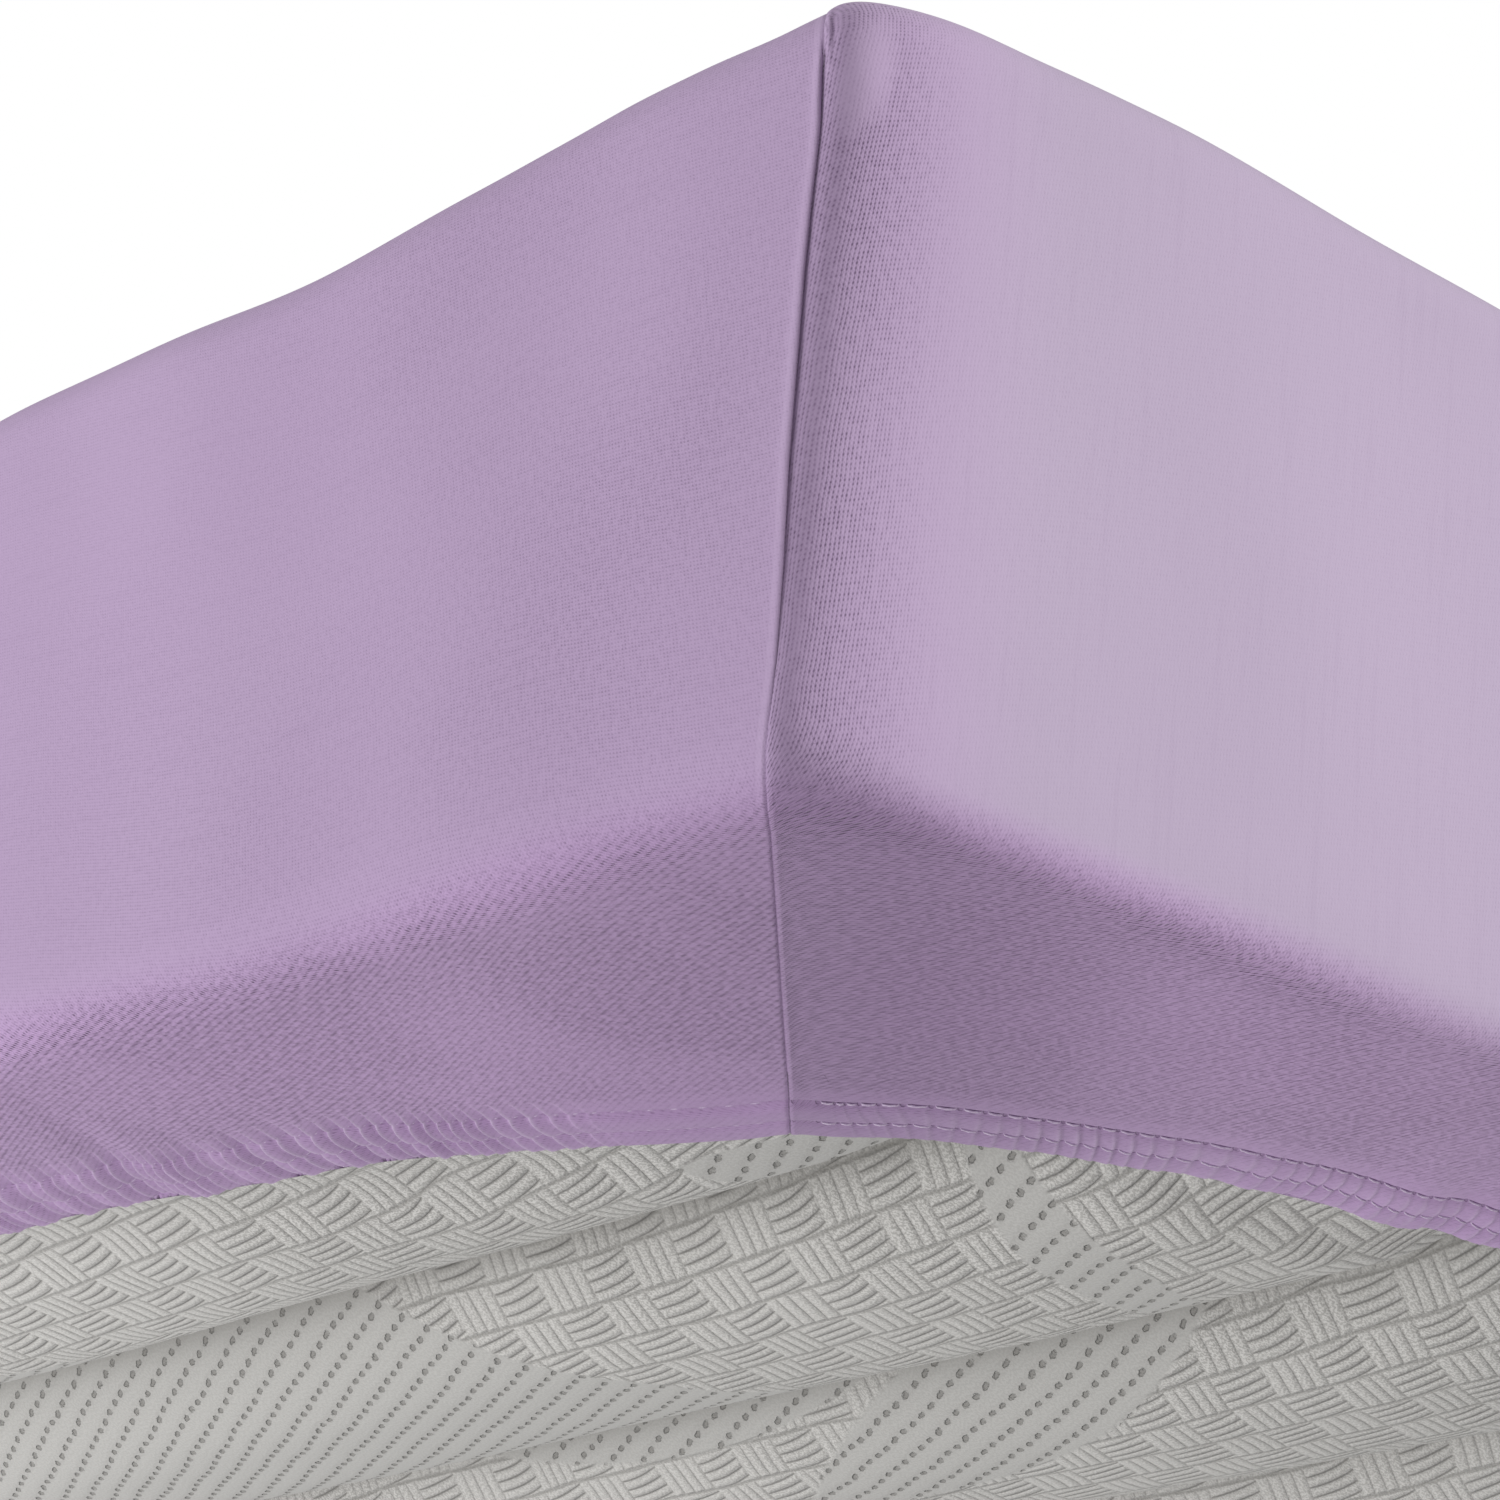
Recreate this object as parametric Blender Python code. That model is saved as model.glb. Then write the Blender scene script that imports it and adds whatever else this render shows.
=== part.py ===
"""A fitted sheet of knitted cloth, stretched over a single mattress.

Metres, +Z up. X runs along the length, Y across the width. The origin is under the
middle of the mattress, on the plane that the rolls of its underside rest on.

The sheet is one closed shell. It covers the top, comes down the four sides and turns
under, where an elastic hem draws it in round the corners. Both of its faces are made of
rings that follow the outline: stations() says where each place of the outline lies,
outer_ring_points() and inner_ring_points() give the cloth's two faces there. The
mattress is one solid, lofted along X from cross-sections.
"""

import math
from collections import namedtuple

import bmesh
import bpy

# Driving dimensions of the made-up bed.
LENGTH = 2.00
WIDTH = 0.90
THICKNESS = 0.154  # height of the top edge at the middle of an end
CROWN = 0.008  # the middle of the top is this much higher than that edge

# The cloth.
CLOTH = 0.0016
AIR = 0.0005  # cloth to mattress where the cloth lies on it
TOP_RADIUS = 0.011
BOTTOM_RADIUS = 0.010
SIDE_DRAW = 0.0015  # the most that a side panel is drawn in between its edges
BAND_HEIGHT = 0.002  # underside of the turned-under band above the resting plane
BAND_MIDDLE = 0.42  # the band ripples this share of the way to the hem's edge
TOP_MIDDLE = 0.45  # the top has a ring this share of the way to its flat part

# A side panel's points between its rounded edges, with their shares of the panel's draw
# and of the spare cloth's tuck beside the seam.
SidePoint = namedtuple("SidePoint", "height draw tuck")
SIDE_POINTS = (
    SidePoint(0.128, 0.3, 1.0),
    SidePoint(0.090, 1.0, 0.0),
    SidePoint(0.045, 0.8, 0.0),
)

# The corner, as (distance in from the long side, distance in from the end).
SEAM_IN = 0.0105  # the corner seam lies on the long side, this far from the end
CORNER_REACH = 0.039  # the upright corner is round as far as this along the end
HEM_SIDE = 0.0785  # the hem's edge from the long side, past the corners
HEM_END = 0.0883  # and from the end
HEM_SIDE_START = (HEM_SIDE, 0.3525)
HEM_SIDE_PULL = (0.0930, 0.2245)
HEM_APEX = (0.1292, 0.1594)  # where the seam meets the hem
HEM_END_PULL = (0.1592, 0.0940)
HEM_END_STOP = (0.315, HEM_END)
RIDGE_SHARE = 0.985  # the seam's ridge meets the hem this far along its first curve
FOOT_SHARE = 0.965  # and the ridge's foot here
CORNER_SHARE = 0.12  # the round corner meets this share of the hem's second curve

# The elastic hem. The points of its casing are (distance out from the hem's edge,
# height), as shares of the casing's width and thickness.
CASING_WIDTH = 0.022
CASING_THICKNESS = 0.0034
CASING_HEIGHT = 0.0006  # its underside above the resting plane
CASING_UNDER = ((0.68, 0.0), (0.20, 0.0), (0.0, 0.45))
CASING_OVER = ((0.12, 1.0), (0.80, 1.0))
CASING_RAMP = 1.25  # over the casing the band is thin again this many widths out
HEM_WANDER = 0.0020
STITCH_DIP = 0.0002

# The corner seam's ridge, and the tuck of spare cloth at its top.
RIDGE = 0.0013
RIDGE_OFFSET = 0.0025
RIDGE_FOOT = 0.006
TUCK = 0.0022
# How the cloth leans inwards at the corner, as (in from the side, in from the end) for
# each metre that it goes in: at the seam, half way round and past the corner.
SEAM_LEAN = (1.0, 0.6)
CORNER_LEAN = (1.3, 1.0)
END_LEAN = (0.0, 1.0)
LEAN_FADE = 0.040  # along the side from the seam until the cloth goes straight in

# The mattress.
GROOVES = 5
ROLL_PITCH = 0.123
ROLL_DEPTH = 0.024
ROLL_REACH = 0.052  # from a groove to the flat strip along a roll's crest
ROLL_STEPS = (0.006, 0.017, 0.032, ROLL_REACH)
ROLL_RADIUS = (ROLL_REACH**2 + ROLL_DEPTH**2) / (2 * ROLL_DEPTH)
ROLL_SKEW = 0.034  # how far the grooves have drifted towards -Y at both ends
RIM_SHARES = (0.25, 0.48, 0.68, 0.85, 1.0)  # section points from the last roll's crest
RIM_STOP = 0.366  # to here, measured from the middle of the width
RIM_OUTER = 0.400
LIFT = 0.0050  # how far the cloth and its hem hold the underside off the plane
HEM_MARGIN = 0.010  # that lift is whole as far as this inside the hem's edge
CREST_RAMP = 0.028  # and has gone after this much more
MATTRESS_IN = CLOTH + AIR + SIDE_DRAW
EDGE_DIP = 0.0035  # the most that the cloth's top edge dips
CROWN_REACH = 0.130
MATTRESS_TOP_RADIUS = 0.014
MATTRESS_BOTTOM_RADIUS = 0.012
MATTRESS_CORNER = 0.030

# How finely things are cut.
SIDE_STEPS = 14
SIDE_CURVE_STEPS = 7
CORNER_STEPS = 5
END_CURVE_STEPS = 6
END_STEPS = 3
FINE_TURN = (0, 30, 60, 90)
COARSE_TURN = (90, 45, 0)
FOOT_TURN = (35, 65, 90)
SECTION_STEPS = (
    0.022, 0.030, 0.050, 0.075, 0.100, 0.125, 0.155, 0.190, 0.235, 0.290, 0.360, 0.500, 0.720,
)
SHARP_DEGREES = 35

# Slow waves along an edge: height of the wave, its length and its shift, in metres.
Wave = namedtuple("Wave", "height length shift")
SIDE_EDGE_WAVES = (Wave(0.0032, 0.238, 0.190), Wave(0.0012, 0.410, 0.120))
SIDE_EDGE_RISE = 0.0014
END_EDGE_WAVES = (Wave(0.0006, 0.310, 0.050),)
EDGE_CALM = 0.12  # the top edge's waves rise over this distance from a corner
# The top edge stands higher near a corner, most at a place along the end.
EDGE_BULGE = 0.0048
BULGE_PLACE = 0.065
BULGE_WIDTH = 0.080
PANEL_WAVES = (Wave(0.5, 0.330, 0.0), Wave(0.5, 0.190, 0.07))
HEM_WAVES = (Wave(0.6, 0.270, 0.03), Wave(0.4, 0.115, 0.0))
BAND_WAVES = (Wave(0.0006, 0.150, 0.02), Wave(0.0003, 0.097, 0.04))
SIDE_SHIFT = 0.37  # shifts the waves of opposite sides, and of opposite ends, apart
END_SHIFT = 0.61

# Colours and roughness.
LILAC = (0.42, 0.30, 0.47)
PALE_GREY = (0.42, 0.40, 0.38)
CLOTH_ROUGHNESS = 0.9
TICKING_ROUGHNESS = 0.85

# One place of the outline: where the edge, its way inwards and the hem's edge are in
# plan, the slow waves' place along the outline, and the seam's ridge and tuck there.
Station = namedtuple("Station", "edge lean hem along on_side ridge tuck")


def clear_scene():
    for thing in list(bpy.data.objects):
        bpy.data.objects.remove(thing, do_unlink=True)


def mix(a, b, share):
    return tuple(p + (q - p) * share for p, q in zip(a, b))


def bezier(start, pull, stop, t):
    return mix(mix(start, pull, t), mix(pull, stop, t), t)


def shares(steps):
    """Even shares from 0 to 1, without the last."""
    return [n / steps for n in range(steps)]


def smooth(share):
    share = min(max(share, 0.0), 1.0)
    return share * share * (3 - 2 * share)


def sum_of_waves(waves, place):
    return sum(
        w.height * math.sin(2 * math.pi * (place + w.shift) / w.length) for w in waves
    )


def side_hem(share):
    """The hem's edge from where the side's starts to curve, 0, to the seam, 1."""
    return bezier(HEM_SIDE_START, HEM_SIDE_PULL, HEM_APEX, share)


def end_hem(share):
    """The hem's edge from the seam, 0, to where the end's is straight, 1."""
    return bezier(HEM_APEX, HEM_END_PULL, HEM_END_STOP, share)


def corner_stations():
    """A quarter of the outline in corner distances: mid side, seam, corner, mid end."""
    found = []

    def add(edge, lean, hem, ridge=0.0, tuck=0.0):
        found.append((edge, lean, hem, ridge, tuck))

    def add_on_side(down, hem, ridge=0.0):
        near = max(1 - (down - SEAM_IN) / LEAN_FADE, 0.0)
        add((0.0, down), (SEAM_LEAN[0], SEAM_LEAN[1] * near), hem, ridge)

    curve_start = HEM_SIDE_START[1]
    for share in shares(SIDE_STEPS):
        down = LENGTH / 2 + (curve_start - LENGTH / 2) * share
        add_on_side(down, (HEM_SIDE, down))
    foot = SEAM_IN + RIDGE_FOOT
    for share in shares(SIDE_CURVE_STEPS):
        down = curve_start + (foot - curve_start) * share
        add_on_side(down, side_hem(share * FOOT_SHARE))
    add_on_side(foot, side_hem(FOOT_SHARE))
    add_on_side(SEAM_IN + RIDGE_OFFSET, side_hem(RIDGE_SHARE), ridge=1.0)
    add_on_side(SEAM_IN, HEM_APEX)
    for step in range(1, CORNER_STEPS + 1):
        t = step / CORNER_STEPS
        edge = bezier((0.0, SEAM_IN), (0.0, 0.0), (CORNER_REACH, 0.0), t)
        lean = bezier(SEAM_LEAN, CORNER_LEAN, END_LEAN, t)
        add(edge, lean, end_hem(CORNER_SHARE * t), tuck=math.sin(math.pi * t))
    for step in range(1, END_CURVE_STEPS + 1):
        share = step / END_CURVE_STEPS
        across = CORNER_REACH + (HEM_END_STOP[0] - CORNER_REACH) * share
        hem = end_hem(CORNER_SHARE + (1 - CORNER_SHARE) * share)
        add((across, 0.0), END_LEAN, hem)
    for step in range(1, END_STEPS + 1):
        across = HEM_END_STOP[0] + (WIDTH / 2 - HEM_END_STOP[0]) * step / END_STEPS
        add((across, 0.0), END_LEAN, (across, HEM_END))
    return found


def stations():
    """The whole outline, anticlockwise from the middle of the -Y side."""
    quarter = corner_stations()
    whole = []
    for end, side in ((1, -1), (1, 1), (-1, 1), (-1, -1)):
        forward = end * side < 0
        row = quarter[:-1] if forward else quarter[:0:-1]
        for edge, lean, hem, ridge, tuck in row:
            on_side = edge[0] == 0.0
            place = (end * (LENGTH / 2 - edge[1]), side * (WIDTH / 2 - edge[0]))
            on_this_end = place[1] + END_SHIFT * end
            on_this_side = place[0] + SIDE_SHIFT * side
            whole.append(
                Station(
                    edge=place,
                    lean=(-end * lean[1], -side * lean[0]),
                    hem=(end * (LENGTH / 2 - hem[1]), side * (WIDTH / 2 - hem[0])),
                    along=on_this_side if on_side else on_this_end,
                    on_side=on_side,
                    ridge=ridge,
                    tuck=tuck,
                )
            )
    return whole


def from_edges(place):
    """Distances in from the nearer long side and the nearer end."""
    return WIDTH / 2 - abs(place[1]), LENGTH / 2 - abs(place[0])


def edge_height(station):
    """The top edge's height: it waves along a side and bulges near the corners."""
    in_from_side, in_from_end = from_edges(station.edge)
    if station.on_side:
        calm = smooth(in_from_end / EDGE_CALM)
        wave = SIDE_EDGE_RISE + sum_of_waves(SIDE_EDGE_WAVES, station.along)
    else:
        calm = smooth(in_from_side / EDGE_CALM)
        wave = sum_of_waves(END_EDGE_WAVES, station.along)
    bulge = EDGE_BULGE * math.exp(-(((in_from_side - BULGE_PLACE) / BULGE_WIDTH) ** 2))
    return THICKNESS + bulge + calm * wave


def crown_height(place, reach, height):
    """How far the top has risen at a place in from its edges."""
    side, end = from_edges(place)
    return height * min(side / reach, 1.0) * min(end / reach, 1.0)


def panel_draw(station):
    """How far in a side panel is at mid height, never out past its edges."""
    return SIDE_DRAW * (0.5 + 0.5 * sum_of_waves(PANEL_WAVES, station.along))


def hem_edge(station):
    """The hem's edge in plan, and the direction from the outline to it."""
    start = inset(station, BOTTOM_RADIUS, 0.0)
    run = (station.hem[0] - start[0], station.hem[1] - start[1])
    size = math.hypot(*run)
    way = (run[0] / size, run[1] / size)
    calm = 0.0 if station.ridge or station.tuck else 1.0
    wander = calm * HEM_WANDER * sum_of_waves(HEM_WAVES, station.along)
    return tuple(h + wander * w for h, w in zip(station.hem, way)), way


def inset(station, depth, height):
    """A point a depth in from the outline."""
    return (
        station.edge[0] + depth * station.lean[0],
        station.edge[1] + depth * station.lean[1],
        height,
    )


def before_hem(station, distance, height):
    """A point on the underside, a distance out from the hem's edge."""
    edge, way = hem_edge(station)
    return edge[0] - distance * way[0], edge[1] - distance * way[1], height


def casing_point(station, out, up):
    """A point of the casing, by its shares of the casing's width and thickness."""
    height = CASING_HEIGHT + up * CASING_THICKNESS
    return before_hem(station, out * CASING_WIDTH, height)


def across_top(station, share, sink):
    """A point of the top, a share of the way from its rounded edge to the flat."""
    start = inset(station, TOP_RADIUS, 0.0)[:2]
    place = mix(start, station.hem, share)
    edge = edge_height(station) - THICKNESS
    rise = crown_height(place, HEM_SIDE, CROWN)
    return place[0], place[1], THICKNESS + edge * (1 - share) + rise - sink


def outer_ring_points(station):
    """The cloth's outer face, from the flat of the top to the hem's edge."""
    top = edge_height(station)
    ridge = RIDGE * station.ridge
    points = [across_top(station, 1.0, 0.0), across_top(station, TOP_MIDDLE, 0.0)]
    for degrees in FINE_TURN:
        turn = math.radians(degrees)
        depth = TOP_RADIUS * (1 - math.sin(turn)) - ridge * math.sin(turn)
        height = top - TOP_RADIUS * (1 - math.cos(turn))
        points.append(inset(station, depth, height))
    for height, draw, tuck in SIDE_POINTS:
        depth = draw * panel_draw(station) - ridge - tuck * TUCK * station.tuck
        points.append(inset(station, depth, height))
    for degrees in FINE_TURN:
        turn = math.radians(degrees)
        depth = BOTTOM_RADIUS * (1 - math.cos(turn)) - ridge * math.cos(turn)
        height = BAND_HEIGHT + BOTTOM_RADIUS * (1 - math.sin(turn))
        points.append(inset(station, depth, height - ridge * math.sin(turn)))
    start = inset(station, BOTTOM_RADIUS, 0.0)[:2]
    band = mix(start, station.hem, BAND_MIDDLE)
    ripple = sum_of_waves(BAND_WAVES, station.along)
    points.append((band[0], band[1], BAND_HEIGHT + ripple - ridge))
    points.append(before_hem(station, CASING_WIDTH, BAND_HEIGHT + STITCH_DIP))
    points += [casing_point(station, out, up) for out, up in CASING_UNDER]
    return points


def inner_ring_points(station):
    """The cloth's inner face, from the hem's edge back to the flat of the top."""
    top = edge_height(station)
    points = [casing_point(station, out, up) for out, up in CASING_OVER]
    points.append(before_hem(station, CASING_RAMP * CASING_WIDTH, BAND_HEIGHT + CLOTH))
    for degrees in COARSE_TURN:
        turn = math.radians(degrees)
        depth = BOTTOM_RADIUS - (BOTTOM_RADIUS - CLOTH) * math.cos(turn)
        fall = (BOTTOM_RADIUS - CLOTH) * math.sin(turn)
        points.append(inset(station, depth, BAND_HEIGHT + BOTTOM_RADIUS - fall))
    points.append(inset(station, CLOTH + panel_draw(station), THICKNESS / 2))
    for degrees in COARSE_TURN:
        turn = math.radians(degrees)
        depth = TOP_RADIUS - (TOP_RADIUS - CLOTH) * math.sin(turn)
        rise = (TOP_RADIUS - CLOTH) * math.cos(turn)
        points.append(inset(station, depth, top - TOP_RADIUS + rise))
    points.append(across_top(station, TOP_MIDDLE, CLOTH))
    points.append(across_top(station, 1.0, CLOTH))
    return points


def fill_top(mesh, ring, height):
    """Fills a ring with faces that run to a line along the middle of its length."""
    reach = LENGTH / 2 - WIDTH / 2
    spine = {}

    def on_spine(vertex):
        x = min(max(vertex.co.x, -reach), reach)
        key = round(x, 6)
        if key not in spine:
            spine[key] = mesh.verts.new((x, 0.0, height))
        return spine[key]

    for a, b in zip(ring, ring[1:] + ring[:1]):
        corners = [a, b, on_spine(b)]
        if on_spine(a) is not corners[-1]:
            corners.append(on_spine(a))
        mesh.faces.new(corners)


def bridge(mesh, first, second):
    """Faces between two closed loops of as many points."""
    for n in range(len(first)):
        m = (n + 1) % len(first)
        mesh.faces.new((first[n], first[m], second[m], second[n]))


def finish_object(name, mesh, colour, roughness):
    """Turns the faces outwards, makes the object and gives it its material."""
    bmesh.ops.triangulate(mesh, faces=[f for f in mesh.faces if len(f.verts) > 3])
    bmesh.ops.recalc_face_normals(mesh, faces=mesh.faces)
    data = bpy.data.meshes.new(name)
    mesh.to_mesh(data)
    mesh.free()
    data.shade_smooth()
    data.set_sharp_from_angle(angle=math.radians(SHARP_DEGREES))
    thing = bpy.data.objects.new(name, data)
    bpy.context.scene.collection.objects.link(thing)
    material = bpy.data.materials.new(name)
    material.use_nodes = True
    shader = material.node_tree.nodes["Principled BSDF"]
    shader.inputs["Base Color"].default_value = (*colour, 1.0)
    shader.inputs["Roughness"].default_value = roughness
    shader.inputs["Metallic"].default_value = 0.0
    data.materials.append(material)


def make_sheet():
    mesh = bmesh.new()
    columns = [outer_ring_points(s) + inner_ring_points(s) for s in stations()]
    rings = [[mesh.verts.new(point) for point in ring] for ring in zip(*columns)]
    for first, second in zip(rings, rings[1:]):
        bridge(mesh, first, second)
    fill_top(mesh, rings[0], THICKNESS + CROWN)
    fill_top(mesh, rings[-1], THICKNESS + CROWN - CLOTH)
    finish_object("fitted_sheet", mesh, LILAC, CLOTH_ROUGHNESS)


def hem_line():
    """The hem's edge of one quarter with its inward direction, in corner distances."""
    line = [hem for _, _, hem, _, _ in corner_stations()]
    found = []
    for n, point in enumerate(line):
        before = line[max(n - 1, 0)]
        after = line[min(n + 1, len(line) - 1)]
        run = (after[0] - before[0], after[1] - before[1])
        size = math.hypot(*run)
        found.append((point, (-run[1] / size, run[0] / size)))
    return found


def inside_hem(place, line):
    """How far a place is inside the hem's opening; less than 0 over the cloth."""
    spot = from_edges(place)
    point, inward = min(line, key=lambda entry: math.dist(entry[0], spot))
    return sum((s - p) * n for s, p, n in zip(spot, point, inward))


def groove_places(x):
    """Where the grooves lie across the underside; they drift towards its ends."""
    drift = ROLL_SKEW * (1 - math.cos(math.pi * x / LENGTH))
    return [(n - (GROOVES - 1) / 2) * ROLL_PITCH - drift for n in range(GROOVES)]


def roll_height(from_groove):
    """Height above the crests, a distance from a groove: an arc, then flat."""
    run = max(ROLL_REACH - from_groove, 0.0)
    return ROLL_RADIUS - math.sqrt(ROLL_RADIUS**2 - run**2)


def underside_height(place, line):
    """The mattress's underside: rolls along X, held up where the cloth lies on it."""
    from_groove = min(abs(place[1] - groove) for groove in groove_places(place[0]))
    held = 1 - smooth((inside_hem(place, line) - HEM_MARGIN) / CREST_RAMP)
    return roll_height(from_groove) + LIFT * held


def rim_places(start):
    """Section points from a start beside the last roll out to the rim."""
    return [start + (RIM_STOP - start) * share for share in RIM_SHARES] + [RIM_OUTER]


def underside_places(x):
    """Where a cross-section has points across its underside, from -Y to +Y."""
    places = []
    for groove in groove_places(x):
        places += [groove - step for step in reversed(ROLL_STEPS)]
        places.append(groove)
        places += [groove + step for step in ROLL_STEPS]
    left = [-y for y in reversed(rim_places(-places[0]))]
    return left + places + rim_places(places[-1])


def section_distances():
    """Distances in from an end of the mattress at which it is cut across."""
    turns = [math.radians(degrees) for degrees in FINE_TURN]
    rounded = [MATTRESS_TOP_RADIUS * (1 - math.cos(turn)) for turn in turns]
    return rounded + list(SECTION_STEPS)


def drop(distance, radius):
    """How far a rounded edge has fallen back, a distance in from the flat end."""
    short = max(radius - distance, 0.0)
    return radius - math.sqrt(radius * radius - short * short)


def mirrored(points):
    return [(-y, z) for y, z in reversed(points)]


def section(x, line):
    """The lower and upper lines of one cross-section, each from -Y to +Y."""
    from_end = LENGTH / 2 - MATTRESS_IN - abs(x)
    half = WIDTH / 2 - MATTRESS_IN - drop(from_end, MATTRESS_CORNER)
    fall = drop(from_end, MATTRESS_TOP_RADIUS)
    base = THICKNESS - EDGE_DIP - CLOTH - AIR - fall

    def top(y):
        return base + crown_height((x, y), CROWN_REACH, CROWN + EDGE_DIP)

    def bottom(y):
        return underside_height((x, y), line) + fall

    rim = half - MATTRESS_BOTTOM_RADIUS
    foot = LIFT + fall + MATTRESS_BOTTOM_RADIUS
    feet = []
    for degrees in FOOT_TURN:
        turn = math.radians(degrees)
        y = rim + MATTRESS_BOTTOM_RADIUS * math.sin(turn)
        feet.append((y, foot - MATTRESS_BOTTOM_RADIUS * math.cos(turn)))
    edge = half - MATTRESS_TOP_RADIUS
    head = top(edge) - MATTRESS_TOP_RADIUS
    heads = []
    for degrees in reversed(FINE_TURN):
        turn = math.radians(degrees)
        y = edge + MATTRESS_TOP_RADIUS * math.cos(turn)
        heads.append((y, head + MATTRESS_TOP_RADIUS * math.sin(turn)))
    inner = WIDTH / 2 - CROWN_REACH
    under = [(y, bottom(y)) for y in (-rim, *underside_places(x), rim)]
    over = [(y, top(y)) for y in (-inner, 0.0, inner)]
    return mirrored(feet) + under + feet, mirrored(heads) + over + heads


def close_end(mesh, lower, upper):
    """Fills a flat end with triangles between its lower and its upper line."""
    low = 0
    high = 0
    while low < len(lower) - 1 or high < len(upper) - 1:
        lower_left = low < len(lower) - 1
        upper_left = high < len(upper) - 1
        if upper_left and (not lower_left or upper[high + 1].co.y < lower[low + 1].co.y):
            mesh.faces.new((lower[low], upper[high], upper[high + 1]))
            high += 1
        else:
            mesh.faces.new((lower[low], lower[low + 1], upper[high]))
            low += 1


def make_mattress():
    mesh = bmesh.new()
    line = hem_line()
    distances = section_distances()
    end = LENGTH / 2 - MATTRESS_IN
    cuts = [d - end for d in distances] + [0.0] + [end - d for d in reversed(distances)]
    loops = []
    for x in cuts:
        lower, upper = section(x, line)
        lower = [mesh.verts.new((x, y, z)) for y, z in lower]
        upper = [mesh.verts.new((x, y, z)) for y, z in upper]
        if x in (cuts[0], cuts[-1]):
            close_end(mesh, lower, upper)
        loops.append(lower + upper[::-1])
    for first, second in zip(loops, loops[1:]):
        bridge(mesh, first, second)
    finish_object("mattress", mesh, PALE_GREY, TICKING_ROUGHNESS)


clear_scene()
make_mattress()
make_sheet()
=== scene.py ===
"""The looks of a knitted fitted sheet on a single mattress, seen from under one corner.

Metres, in the model's own frame: +Z up, X along the length, Y across the width. The
sheet is laid out on rows that follow the outline, from the middle of the top over the
edge, down the panel and under to the elastic hem. A place of the outline has a quarter
of its own, which is measured from its corner: u in from the long side, v in from the end.
"""

import math
from collections import namedtuple

import bmesh
import bpy
import numpy as np
from mathutils import Matrix, Vector


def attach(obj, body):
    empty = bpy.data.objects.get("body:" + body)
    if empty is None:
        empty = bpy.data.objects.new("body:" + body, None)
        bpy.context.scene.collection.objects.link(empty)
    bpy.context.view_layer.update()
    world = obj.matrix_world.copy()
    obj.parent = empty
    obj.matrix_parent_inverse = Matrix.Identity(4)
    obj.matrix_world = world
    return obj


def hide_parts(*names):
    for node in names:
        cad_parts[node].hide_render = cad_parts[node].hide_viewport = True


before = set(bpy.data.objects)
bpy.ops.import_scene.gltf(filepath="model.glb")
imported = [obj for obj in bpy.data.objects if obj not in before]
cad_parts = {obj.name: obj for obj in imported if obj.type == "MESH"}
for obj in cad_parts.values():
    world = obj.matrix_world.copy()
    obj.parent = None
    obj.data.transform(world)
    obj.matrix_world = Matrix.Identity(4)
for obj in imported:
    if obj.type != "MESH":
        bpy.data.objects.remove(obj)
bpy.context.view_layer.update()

# Driving sizes of the made-up bed.
LENGTH = 2.00
WIDTH = 0.90
THICKNESS = 0.153  # height of the top edge at the middle of an end
CROWN = 0.008  # the middle of the top is this much higher than that edge

# The cloth's edges and panels.
TOP_RADIUS = 0.011
SIDE_BOTTOM_RADIUS = 0.013
END_BOTTOM_RADIUS = 0.0085
SIDE_DRAW = 0.0015  # the most that a panel is drawn in between its edges
DRAW_BLUNTNESS = 0.8  # under 1, the draw is flatter than a half wave
BAND_HEIGHT = 0.002  # underside of the turned-under band above the resting plane
SIDE_EDGE_RISE = 0.0014  # a long side's top edge stands this much higher
EDGE_CALM = 0.12  # the top edge's waves rise over this distance from a corner
EDGE_BULGE = 0.0048  # an end's top edge bulges by this near its corners,
BULGE_PLACE = 0.065  # this far in from the long side,
BULGE_WIDTH = 0.080  # and fades over this distance
CORNER_FALL = 0.0006  # and at the corner itself it falls by this
CORNER_FALL_REACH = 0.030

# The corner, as (in from the long side, in from the end).
SEAM_IN = 0.0105  # the corner seam lies on the long side, this far from the end
CORNER_REACH = 0.039  # the upright corner is round as far as this along the end
HEM_SIDE = 0.0785  # the hem's edge from the long side, past the corners
HEM_END = 0.0883  # and from the end
HEM_SIDE_START = (HEM_SIDE, 0.3525)
HEM_SIDE_PULL = (0.0930, 0.2245)
HEM_APEX = (0.1307, 0.1565)  # where the seam meets the hem
HEM_END_PULL = (0.1592, 0.0940)
HEM_END_STOP = (0.315, HEM_END)
CORNER_SHARE = 0.12  # the round corner meets this share of the hem's second curve
# How the cloth leans inwards for each metre that it goes in: at the seam, half way round
# the corner and past it.
SEAM_LEAN = (1.0, 1.0)
CORNER_LEAN = (1.3, 1.0)
END_LEAN = (0.0, 1.0)
LEAN_FADE = 0.040  # along the side from the seam until the cloth goes straight in

# Steps between places of the outline.
SIDE_STEP = 0.0026
SEAM_STEP = 0.0006
SEAM_FINE = 0.010  # the fine steps start this far from the seam
END_STEP = 0.0026
TURN_PLACES = 46  # round the corner, from the seam
TURN_CROWDING = 1.5  # over 1, they crowd towards the seam

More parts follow.
